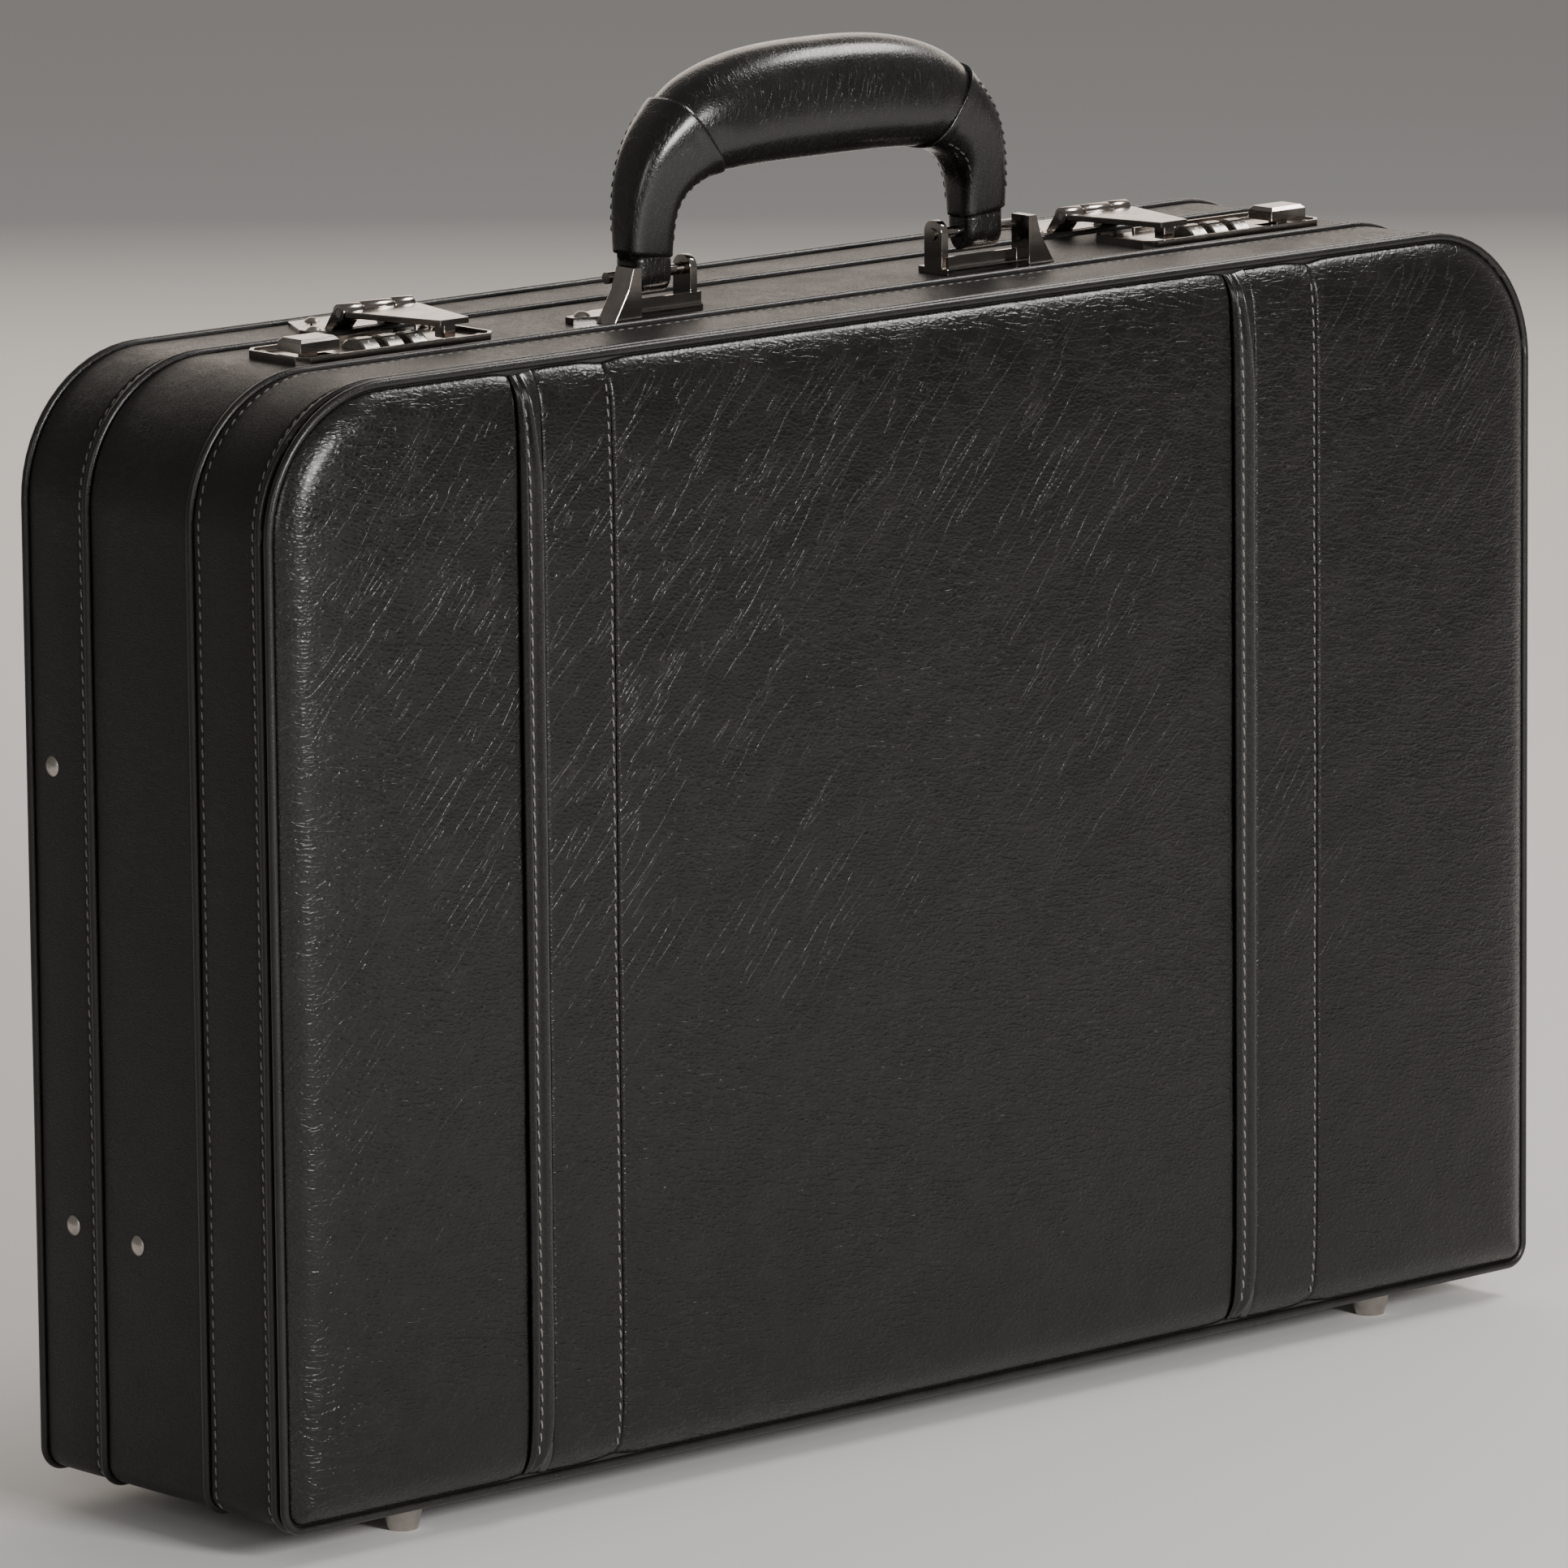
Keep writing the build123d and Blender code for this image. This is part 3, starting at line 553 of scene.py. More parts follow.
def spread(start, stop, step, startSpan, stopSpan, count):
    # places from start to stop: quarter-circle spacing over each end's span, and even steps between
    bend = 1 - np.cos(np.linspace(0, halfPi, count))
    head = start + startSpan * bend
    tail = stop - stopSpan * bend[::-1]
    middle = np.linspace(head[-1], tail[0], max(int((tail[0] - head[-1]) / step), 1) + 1)[1:-1]
    return np.concatenate([head, middle, tail])


def ease(value, low, high):
    # from 0 to 1 between low and high: three times the square less twice the cube
    share = np.clip((value - low) / (high - low), 0, 1)
    return share * share * (3 - 2 * share)


def quarterRise(distance, radius):
    # the height of a quarter circle at a distance from its foot, from 0 to 1
    return np.sqrt(1 - (1 - np.clip(distance / radius, 0, 1)) ** 2)


def ripple(first, second, size, seed):
    # a smooth irregular wave from -1 to 1: five sines of different directions and lengths added up
    draw = np.random.default_rng(seed)
    total = 0
    for level in range(5):
        angle, phase = draw.uniform(0, 2 * np.pi, 2)
        wave = (np.cos(angle) * first + np.sin(angle) * second) * 2 * np.pi / (size * (0.6 + 0.35 * level))
        total = total + np.sin(wave + phase) / 3
    return total


cornerPlaces = 41


def makeOutline():
    # the case from the front, walked from the middle of its bottom up the right side: four quarter circles
    # joined by straight runs; columns are x, z and the direction that the surface faces
    half, low, high = case["half"], case["base"], case["top"]
    top, bottom = case["topCorner"], case["bottomCorner"]
    sweep = np.linspace(0, halfPi, cornerPlaces)
    corners = [
        (half - bottom, low + bottom, bottom, -halfPi),
        (half - top, high - top, top, 0),
        (top - half, high - top, top, halfPi),
        (bottom - half, low + bottom, bottom, 2 * halfPi),
    ]
    parts = [np.array([[0, low, -halfPi]])]
    for x, z, radius, start in corners:
        angle = start + sweep
        parts.append(np.stack([x + radius * np.cos(angle), z + radius * np.sin(angle), angle], 1))
    parts.append(np.array([[0, low, 3 * halfPi]]))
    table = np.concatenate(parts)
    walked = np.concatenate([[0], np.cumsum(np.hypot(*np.diff(table[:, :2], axis=0).T))])
    return table, walked


outlineTable, outlineWalk = makeOutline()
outlineLength = outlineWalk[-1]
rightTopEnd = outlineWalk[cornerPlaces * 2]  # where the right top corner ends and the flat top begins


def outlineAt(walk):
    x, z, angle = (np.interp(walk, outlineWalk, outlineTable[:, column]) for column in range(3))
    return x, z, np.cos(angle), np.sin(angle)


def topWalk(x):
    # how far round the outline a place on the flat top is
    return rightTopEnd + case["half"] - case["topCorner"] - x


def edgeHeights(x, inset):
    # the lowest and highest z of the outline, drawn in by an inset, at each x
    half, low, high = case["half"] - inset, case["base"] + inset, case["top"] - inset
    heights = []
    for corner, sign, level in (("bottomCorner", -1, low), ("topCorner", 1, high)):
        radius = case[corner] - inset
        into = np.clip(np.abs(x) - (half - radius), 0, radius)
        heights.append(level - sign * (radius - np.sqrt(np.maximum(radius**2 - into**2, 0))))
    return heights


def insideDistance(x, z, inset):
    # how far a place on the face is from the outline drawn in by an inset
    half, low, high = case["half"] - inset, case["base"] + inset, case["top"] - inset
    far = np.minimum(np.minimum(half - np.abs(x), high - z), z - low)
    for radius, into in ((case["topCorner"] - inset, z - high), (case["bottomCorner"] - inset, low - z)):
        across, along = np.abs(x) - (half - radius), into + radius
        corner = (across > 0) & (along > 0)
        far = np.where(corner, radius - np.hypot(across, along), far)
    return np.maximum(far, 0)


band = {
    "skin": 1.2 * mm,
    "bulge": 0.7 * mm,  # of the side walls
    "unevenness": 0.06 * mm,
    "tuck": 0.32 * mm,  # depth at the piping
    "tuckWidth": 0.5 * mm,
    "groove": 0.28 * mm,  # depth along the stitches
    "grooveWidth": 0.55 * mm,
    "step": 3.0 * mm,
    "edgeSpan": 2.5 * mm,
    "rowSpan": 1.3,  # in mm to each side of a row
    "rowLift": 0.1 * mm,
    "rubWidth": 1.2 * mm,
    "frontRow": 1.5 * mm,  # rows of stitches, from the piping beside them
    "middleRow": 2.4 * mm,
    "lidRow": 1.6 * mm,
    "lockSide": 5.2 * mm,  # the openings under the lock plates, drawn in from the plate's edges
    "lockFront": 1.2 * mm,
    "lockRear": 2.7 * mm,
    "hingeGap": 2.5 * mm,
}

frontBandLow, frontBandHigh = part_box("front_band_leather")
bandRows = {
    "front_band_leather": [frontBandLow.y + band["frontRow"], frontBandHigh.y - band["middleRow"]],
    "middle_band_leather": [],
    "lid_band_leather": [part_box("lid_band_leather")[0].y + band["lidRow"]],
}


def bandOffset(y, walk, low, high, rows):
    # how far the leather stands out: a low parabola on the side walls, tucked in by an exponential at
    # both edges and by a bell along each stitched row
    facing = np.abs(outlineAt(walk)[2])
    share = (y - low) / (high - low)
    out = band["bulge"] * facing**2 * (1 - (2 * share - 1) ** 2)
    out = out + band["unevenness"] * ripple(walk, y, 45 * mm, 3) * (facing**2 + 0.3)
    for edge in (low, high):
        out = out - band["tuck"] * np.exp(-np.abs(y - edge) / band["tuckWidth"])
    for row in rows:
        out = out - band["groove"] * np.exp(-(((y - row) / band["grooveWidth"]) ** 2))
    return out


def bandPoint(y, walk, low, high, rows, lift=0.0):
    # the outline at that place, moved out the way it faces
    x, z, faceX, faceZ = outlineAt(walk)
    out = bandOffset(y, walk, low, high, rows) + lift
    return np.stack([x + faceX * out, y + 0 * x, z + faceZ * out], -1)


def makeBand(node, body):
    low, high = (corner.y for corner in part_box(node))
    rows = bandRows[node]
    step, span, rowSpan = band["step"], band["edgeSpan"], band["rowSpan"]
    across = [spread(low, high, step, span, span, 7)]
    across += [row + np.linspace(-rowSpan, rowSpan, 9) * mm for row in rows]
    around = [outlineWalk, np.arange(0, outlineLength, step)]
    openings = []
    if node == "middle_band_leather":
        for side in ("left", "right"):
            lockLow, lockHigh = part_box("lock_body_" + side)
            x0, x1 = lockLow.x + band["lockSide"], lockHigh.x - band["lockSide"]
            openings.append((x0, x1, lockLow.y + band["lockFront"], lockHigh.y - band["lockRear"]))
        for x0, x1, y0, y1 in openings:
            across.append(np.array([y0, y1]))
            around.append(np.array([topWalk(x0), topWalk(x1)]))
    across, around = (np.unique(np.round(np.concatenate(values), 7)) for values in (across, around))
    around = around[around <= outlineLength]
    walk, y = np.meshgrid(around, across, indexing="ij")
    points = bandPoint(y, walk, low, high, rows)
    points[-1] = points[0]
    keep = np.ones((len(around) - 1, len(across) - 1), bool)
    middle = (points[:-1, :-1] + points[1:, 1:]) / 2
    for x0, x1, y0, y1 in openings:
        inside = (middle[..., 0] > x0) & (middle[..., 0] < x1) & (middle[..., 1] > y0) & (middle[..., 1] < y1)
        keep &= ~(inside & (middle[..., 2] > case["top"] - 5 * mm))
    pinStart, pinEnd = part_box("hinge_pin")
    gap = band["hingeGap"]
    hinge = (np.abs(middle[..., 1] - pinStart.y) < gap) & (middle[..., 2] < case["base"] + gap)
    keep &= ~(hinge & (np.abs(middle[..., 0]) < pinEnd.x))
    rub = np.exp(-np.minimum(y - low, high - y) / band["rubWidth"])
    skin = band["skin"]
    piece = sheetPiece("sewn_" + node, points, "band", body, skin, True, keep, rub)
    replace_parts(piece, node)
    for number, row in enumerate(rows, 1):
        walk = np.linspace(0, outlineLength, 2000)
        path = bandPoint(np.full_like(walk, row), walk, low, high, rows, band["rowLift"])
        x, z, faceX, faceZ = outlineAt(walk)
        up = np.stack([faceX, 0 * x, faceZ], -1)
        stitchRow(f"stitches_{node}_{number}", path, up, "thread", body)


stitch = {
    "pitch": 3.3 * mm,
    "length": 2.3 * mm,
    "radius": 0.27 * mm,
    "slant": 9,
    "along": (-1, -0.78, 0, 0.78, 1.0),  # places of its rings, and their girths
    "girth": (0.35, 0.85, 1, 0.85, 0.35),
    "dip": 0.9,  # how far its ends go into the leather, in radii
    "ahead": 0.4 * mm,
}


def stitchShape():
    # a short capsule lying along X: six points round, five rings, its ends dipping into the leather
    length, radius = stitch["length"] / 2, stitch["radius"]
    along, girth = np.array(stitch["along"]), np.array(stitch["girth"])
    angle = np.arange(6) * np.pi / 3
    x = np.repeat(along * length, 6)
    y = np.outer(girth * radius, np.cos(angle)).ravel()
    dip = stitch["dip"] * radius * along**4
    z = (np.outer(girth * radius, np.sin(angle)) - dip[:, None]).ravel()
    faces = gridQuads(5, 6, wrap=True).reshape(-1, 4)
    caps = [list(range(5, -1, -1)), list(range(24, 30))]
    return np.stack([x, y, z], 1), faces, caps


def between(places, walked, table):
    # each column of a table read off at places along a walk
    return np.stack([np.interp(places, walked, column) for column in table.T], 1)


def stitchRow(name, path, up, finish, body, size=1.0):
    # stitches of one length laid nose to tail along a path, each turned a little off the line
    walked = np.concatenate([[0], np.cumsum(np.linalg.norm(np.diff(path, axis=0), axis=1))])
    pitch = stitch["pitch"] * size
    places = np.arange(pitch * 0.6, walked[-1] - pitch * 0.5, pitch)
    centre, normal = between(places, walked, path), between(places, walked, up)
    normal /= np.linalg.norm(normal, axis=1, keepdims=True)
    along = between(places + stitch["ahead"], walked, path) - centre
    along -= normal * (along * normal).sum(1, keepdims=True)
    along /= np.linalg.norm(along, axis=1, keepdims=True)
    side = np.cross(normal, along)
    angle = np.radians(stitch["slant"])
    along, side = along * np.cos(angle) + side * np.sin(angle), side * np.cos(angle) - along * np.sin(angle)
    shape, quads, caps = stitchShape()
    shape = shape * size
    points = centre[:, None] + shape[None, :, :1] * along[:, None] + shape[None, :, 1:2] * side[:, None]
    points = points + shape[None, :, 2:] * normal[:, None]
    start = (np.arange(len(places)) * len(shape))[:, None, None]
    faces = (quads[None] + start).reshape(-1, 4).tolist()
    faces += (np.array(caps)[None] + start).reshape(-1, 6).tolist()
    return makeMesh(name, points.reshape(-1, 3), faces, finish, body)


face = {
    "inset": 1.4 * mm,
    "roll": 8 * mm,
    "softRoll": 8 * mm,
    "softShare": 0.5,
    "depth": 5.2 * mm,
    "skin": 1.1 * mm,
    "seamRadius": 1.3 * mm,
    "pucker": 0.9 * mm,
    "puckerWidth": 5 * mm,
    "puckerFade": 14 * mm,
    "seamRow": 1.5 * mm,  # stitches beside the strips' seams
    "rowEnd": 5 * mm,  # how far from the case's edge they end
    "rowLift": 0.05 * mm,
    "rubWidth": 5 * mm,
    "domeAcross": 0.6,  # powers of the dome's two parabolas
    "domeUpright": 0.4,
    "unevenness": 0.12 * mm,
    "rearPuff": 1.2,
    "fill": 0.7,
}
seamNodes = ["front_rib_left", "front_rib_right", "front_strip_left", "front_strip_right"]

# lift above the common level, puff of the padding, and how far the left and right edges fall into
# their seams, all in mm
frontPanels = {
    "front_panel_left": (0.0, 1.1, 0.0, 0.9),
    "front_strip_left": (0.35, 0.35, 0.4, 1.0),
    "front_panel_centre": (0.0, 1.4, 1.1, 0.9),
    "front_strip_right": (0.35, 0.35, 0.4, 1.0),
    "front_panel_right": (0.0, 1.0, 1.1, 0.0),
}


def rimRise(distance):
    # from 0 at the outline to 1 inside: a quarter circle for the turned edge and an exponential
    # for the padding
    soft = face["softShare"]
    tight = quarterRise(distance, face["roll"])
    return (1 - soft) * tight + soft * tight * (1 - np.exp(-distance / face["softRoll"]))


def panelHeight(x, z, x0, x1, lift, puff, leftFall, rightFall):
    # a rim round the outline, a low dome over the padding, and quarter-circle falls at the seams
    rim = rimRise(insideDistance(x, z, face["inset"]))
    across = np.clip((x - x0) / (x1 - x0), 0, 1)
    low, high = edgeHeights(x, face["inset"])
    upright = np.clip((z - low) / (high - low), 0, 1)
    dome = (4 * across * (1 - across)) ** face["domeAcross"]
    dome = dome * (4 * upright * (1 - upright)) ** face["domeUpright"]
    level = face["depth"] + (lift + puff * dome) * mm
    level = level + face["unevenness"] * ripple(x, z, 40 * mm, 8)
    for fall, gone in ((leftFall, x - x0), (rightFall, x1 - x)):
        level = level - fall * mm * (1 - quarterRise(gone, face["seamRadius"]))
    return rim * level


def pucker(x, z):
    # how far the stitching draws the top and bottom edges in: a bell round each seam, fading away
    # from the edge
    pull = 0
    for node in seamNodes:
        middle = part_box(node)[1].x if "strip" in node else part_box(node)[0].x + 2 * mm
        pull = pull + np.exp(-(((x - middle) / face["puckerWidth"]) ** 2))
    fade = face["puckerFade"]
    return face["pucker"] * pull * (ease(case["base"] - z, -fade, 0) - ease(z - case["top"], -fade, 0))


def panelGrid(x0, x1):
    # x and z of a grid that covers the face between x0 and x1, close together at the rim and the seams
    half, corner = case["half"] - face["inset"], case["topCorner"]
    left, right = max(x0, -half), min(x1, half)
    x = spread(left, right, 2.5 * mm, corner if x0 < -half else 3 * mm, corner if x1 > half else 3 * mm, 34)
    low, high = edgeHeights(x, face["inset"])
    share = spread(0, 1, 0.011, 0.03, 0.03, 16)
    return np.repeat(x[:, None], len(share), 1), low[:, None] + (high - low)[:, None] * share


def facePiece(name, points, finish, body, rub, flip=False):
    return sheetPiece(name, points, finish, body, face["skin"], flip, rub=rub)


def makeFrontPanels():
    for node, shape in frontPanels.items():
        low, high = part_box(node)
        reach = case["half"] + 1
        x0 = -reach if node.endswith("panel_left") else low.x
        x1 = reach if node.endswith("panel_right") else high.x
        x, z = panelGrid(x0, x1)
        tall = panelHeight(x, z, low.x, high.x, *shape)
        points = np.stack([x, case["front"] - tall, z + pucker(x, z)], -1)
        rub = np.exp(-insideDistance(x, z, 0) / face["rubWidth"])
        piece = facePiece("padded_" + node, points, "panel", "case_body", rub)
        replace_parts(piece, node)
        if node == "front_panel_centre":
            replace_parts(piece, "front_padding")
        if "strip" in node:
            z = np.linspace(case["base"] + face["rowEnd"], case["top"] - face["rowEnd"], 400)
            x = np.full_like(z, high.x - face["seamRow"])
            tall = panelHeight(x, z, low.x, high.x, *shape)
            path = np.stack([x, case["front"] - tall - face["rowLift"], z], -1)
            up = np.tile([0.15, -1, 0], (len(z), 1))
            stitchRow("stitches_" + node, path, up, "thread", "case_body")


rib = {
    "bead": 1.7,  # height of each bead in mm
    "left": -0.70,  # where the left bead runs, as a share of half the rib's width
    "rightNear": -0.15,  # where the right bead starts at the top and bottom edges
    "right": 0.52,  # and where it runs between them
    "beadWidth": 0.17,
    "rightWider": 1.7,  # the right bead's width against the left one's
    "level": 0.5,  # of the flat between them, in mm
    "unevenness": 0.1,
    "channel": 0.55,  # depth of the stitched channel in mm
    "channelWidth": 0.3,
    "leftFall": (0.8, 0.12),  # depth in mm and width of the falls to the panels
    "rightFall": (0.5, 0.25),
    "inset": 0.7,  # how far inside the edge it starts, as a share of the panels' inset
    "wornAndSheen": (5.6 * mm, 7 * mm),  # the heights between which the crests are rubbed
    "rowEnd": 7 * mm,
    "rowLift": 0.12 * mm,
    "stitch": 1.08,  # size of its stitches against the others
    "topRun": 34 * mm,
    "bottomRun": 16 * mm,
}


def ribLines(z):
    # the right bead leaves the left one at each end of the rib and then runs beside it
    apart = ease(case["top"] - z, 0, rib["topRun"]) * ease(z - case["base"], 0, rib["bottomRun"])
    right = rib["rightNear"] + (rib["right"] - rib["rightNear"]) * apart
    return rib["left"], right


def ribHeight(x, z, x0, x1):
    # two beads, each a bell, with a bell-shaped stitched channel between them, and quarter-circle falls
    # to the panels on both sides
    across = (2 * x - x0 - x1) / (x1 - x0)
    left, right = ribLines(z)
    level = rib["level"] + rib["unevenness"] * ripple(x * 3, z, 30 * mm, 5)
    width = rib["beadWidth"]
    for middle, wide in ((left, width), (right, width * rib["rightWider"])):
        level = level + rib["bead"] * np.exp(-(((across - middle) / wide) ** 2))
    fromChannel = (across - (left + right) / 2) / rib["channelWidth"]
    level = level - rib["channel"] * np.exp(-(fromChannel**2))
    for key, gone in (("leftFall", 1 + across), ("rightFall", 1 - across)):
        deep, wide = rib[key]
        level = level - deep * (1 - quarterRise(gone, wide))
    rim = rimRise(insideDistance(x, z, face["inset"] * rib["inset"]))
    return rim * (face["depth"] + level * mm)


def makeRibs():
    front = case["front"]
    for node in ("front_rib_left", "front_rib_right"):
        low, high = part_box(node)
        bottom, top = case["base"] + face["inset"], case["top"] - face["inset"]
        x = np.linspace(low.x, high.x, 49)
        z = spread(bottom, top, 1.2 * mm, 6 * mm, 6 * mm, 16)
        x, z = np.meshgrid(x, z, indexing="ij")
        points = np.stack([x, front - ribHeight(x, z, low.x, high.x), z + pucker(x, z)], -1)
        rub = ease(-points[..., 1], *(height - front for height in rib["wornAndSheen"]))
        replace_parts(facePiece("welted_" + node, points, "rib", "case_body", rub), node)
        z = np.linspace(case["base"] + rib["rowEnd"], case["top"] - rib["rowEnd"], 500)
        left, right = ribLines(z)
        x = (low.x + high.x) / 2 + (left + right) / 2 * (high.x - low.x) / 2
        y = front - ribHeight(x, z, low.x, high.x) - rib["rowLift"]
        up = np.tile([0, -1, 0], (len(z), 1))
        path = np.stack([x, y, z], -1)
        stitchRow("stitches_" + node, path, up, "paleThread", "case_body", rib["stitch"])


def makeRearPanel():
    # the same shape as the front's panels, in one piece and facing the other way
    x, z = panelGrid(-1, 1)
    half = case["half"]
    tall = panelHeight(x, z, -half, half, 0, face["rearPuff"], 0, 0)
    points = np.stack([x, case["rear"] + tall, z], -1)
    rub = np.exp(-insideDistance(x, z, 0) / face["rubWidth"])
    piece = facePiece("padded_rear_panel", points, "panel", "lid", rub, True)
    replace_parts(piece, "rear_panel")


pinLow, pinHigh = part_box("handle_pins")
handle = {
    "y": (pinLow.y + pinHigh.y) / 2,
    "pin": (pinLow.z + pinHigh.z) / 2,
    # half width, foot above the case, rise, and the curve's power
    "outer": (68.6 * mm, 17 * mm, 52.4 * mm, 2.7),
    "inner": (52.8 * mm, 15 * mm, 22 * mm, 4.4),
    "seam": 0.45,  # where the sleeve ends, as a share of the way from foot to middle
    "legDepth": 5.2 * mm,
    "gripDepth": 12.3 * mm,
    "thickening": (-0.05, 0.62),  # shares of the way between which the depth grows from leg to grip
    "tabWidth": 6.6 * mm,
    "tabMiddle": 60.3 * mm,
    "footTop": 15.2 * mm,  # above the case
    "footStart": 0.12,  # where the foot's round end begins, as an angle
    "footPower": 4.5,  # boxiness of the rings at the foot, along the leg and in the grip
    "legPower": 4.2,
    "legSoftening": 1.3,
    "softened": (0.05, 0.45),
    "gripPower": 2.35,
    "shoulder": ((0, 0.86), (0, 0.95), (0.004, 0.99), (0.012, 1.0)),  # share and girth of the first rings
    "legStart": 0.03,
    "lip": 0.014,  # how far the sleeve swells at its end, and over which shares before the seam
    "lipRun": (0.05, 0.01),
    "sleeveEnd": (0.97, 0.90),  # girth of the last two rings
    "overlap": 0.012,  # how far the grip goes into the sleeves
    "tuckRun": 0.02,
    "tuck": (0.5, 0.8, 0.93),  # girth of the grip's first rings
    "gripShrink": 0.02,
    "shrinkRun": 0.09,
    "fill": 0.9,
}


def superArc(halfWidth, foot, rise, power):
    # the left half of a curve between ellipse and box: |x / halfWidth|^power + |z / rise|^power = 1
    angle = np.linspace(0, halfPi, 600)
    x = -halfWidth * np.cos(angle) ** (2 / power)
    z = case["top"] + foot + rise * np.sin(angle) ** (2 / power)
    walked = np.concatenate([[0], np.cumsum(np.hypot(np.diff(x), np.diff(z)))])
    return x, z, walked / walked[-1]


def handleLine(share):
    # outer and inner edge at shares of the way; past 1 the right half mirrors the left
    edges = []
    for key in ("outer", "inner"):
        x, z, walked = superArc(*handle[key])
        near = np.where(share > 1, 2 - share, share)
        sign = np.where(share > 1, -1, 1)
        edges.append(np.stack([sign * np.interp(near, walked, x), np.interp(near, walked, z)], -1))
    return edges


def handleDepth(share):
    # half the thickness front to rear, which eases from leg to grip
    near = np.where(share > 1, 2 - share, share)
    leg, grip = handle["legDepth"], handle["gripDepth"]
    return leg + (grip - leg) * ease(near, *handle["thickening"])


def legPower(share):
    # how boxy a ring is, easing towards rounder up the leg
    return handle["legPower"] - handle["legSoftening"] * ease(share, *handle["softened"])


def ovalRings(centre, reach, depth, power, count=56):
    # one closed ring per place: |u|^power + |v|^power = 1, u along the reach and v along Y
    angle = np.arange(count) * 2 * np.pi / count
    power = np.broadcast_to(power, len(centre))[:, None]
    u = np.sign(np.sin(angle)) * np.abs(np.sin(angle)) ** (2 / power)
    v = np.sign(np.cos(angle)) * np.abs(np.cos(angle)) ** (2 / power)
    x = centre[:, :1] + reach[:, :1] * u
    z = centre[:, 1:] + reach[:, 1:] * u
    y = handle["y"] + depth[:, None] * v
    return np.stack([x, y, z], -1)


def closedTube(name, rings):
    # rings joined round and along, with a flat cap at each end, turned outwards by the sign of its volume
    count, around = rings.shape[:2]
    points = rings.reshape(-1, 3)
    quads = gridQuads(count, around, wrap=True).reshape(-1, 4)
    first, last = list(range(around - 1, -1, -1)), list(range((count - 1) * around, count * around))
    a, b, c = (points[quads[:, k]] - points.mean(0) for k in (0, 1, 2))
    if np.einsum("ij,ij->i", a, np.cross(b, c)).sum() < 0:
        quads, first, last = quads[:, ::-1], first[::-1], last[::-1]
    return makeMesh(name, points, quads.tolist() + [first, last], "handle", "handle")


def sleeveRings():
    # from the round foot at the pin, over the step to full width, and up the bend to the seam
    pin, seam, leg = handle["pin"], handle["seam"], handle["legDepth"]
    drop = leg * np.cos(np.linspace(handle["footStart"], halfPi, 9))
    footTop = case["top"] + handle["footTop"]
    footZ = np.concatenate([pin - drop, np.linspace(pin, footTop, 6)[1:]])
    footDepth = np.sqrt(np.maximum(leg**2 - np.minimum(footZ - pin, 0) ** 2, 0))
    footCentre = np.stack([np.full_like(footZ, -handle["tabMiddle"]), footZ], 1)
    footReach = np.stack([np.full_like(footZ, -handle["tabWidth"]), 0 * footZ], 1)
    first, girth = np.array(handle["shoulder"]).T
    share = np.concatenate([first, np.linspace(handle["legStart"], seam, 46)])
    outer, inner = handleLine(share)
    centre, reach = (outer + inner) / 2, (outer - inner) / 2
    swell = np.ones(len(share))
    swell[: len(girth)] = girth
    swell += handle["lip"] * ease(share, *(seam - run for run in handle["lipRun"]))
    end = np.array(handle["sleeveEnd"])
    share = np.append(share, [seam] * 2)
    centre = np.concatenate([footCentre, centre, centre[-1:], centre[-1:]])
    reach = np.concatenate([footReach, reach * swell[:, None], reach[-1:] * end[0], reach[-1:] * end[1]])
    depth = np.concatenate([footDepth, handleDepth(share) * np.append(swell, end)])
    power = np.concatenate([np.full(len(footZ), handle["footPower"]), legPower(share)])
    return ovalRings(centre, reach, depth, power)


def makeSleeves():
    sleeve = sleeveRings()
    for side, sign in (("left", 1), ("right", -1)):
        piece = closedTube("sleeve_" + side, sleeve * [sign, 1, 1])
        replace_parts(piece, "handle_wrap_" + side)


def makeGrip():
    # from inside one sleeve to inside the other, tucked in at both ends
    start, run = handle["seam"] - handle["overlap"], handle["tuckRun"]
    inside = handle["seam"] + run
    near = np.concatenate([[start] * 3, start + run * np.linspace(0.05, 1, 5)])
    far = np.concatenate([2 - start - run * np.linspace(1, 0.05, 5), [2 - start] * 3])
    share = np.concatenate([near, np.linspace(inside, 2 - inside, 90), far])
    outer, inner = handleLine(share)
    tuck = np.ones(len(share))
    tuck[:3], tuck[-3:] = handle["tuck"], handle["tuck"][::-1]
    fromEnd = np.minimum(share - handle["seam"], 2 - handle["seam"] - share)
    shrink = handle["gripShrink"]
    scale = tuck * (1 - shrink + shrink * ease(fromEnd, 0.0, handle["shrinkRun"]))
    centre, reach = (outer + inner) / 2, (outer - inner) / 2 * scale[:, None]
    grip = ovalRings(centre, reach, handleDepth(share) * scale, handle["gripPower"], 72)
    piece = closedTube("padded_grip", grip)
    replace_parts(piece, "handle_grip")


sleeveRows = {
    "from": 0.05,  # share of the way where each row starts, and how far before the seam it ends
    "end": 0.03,
    "angle": 0.78,  # how far round the oval from the middle of its face
    "lift": 0.12 * mm,
    "outward": 1.01,
    "lean": (0.6, 0.8),  # how far the stitches face sideways and forwards
    "stitch": 0.9,
}


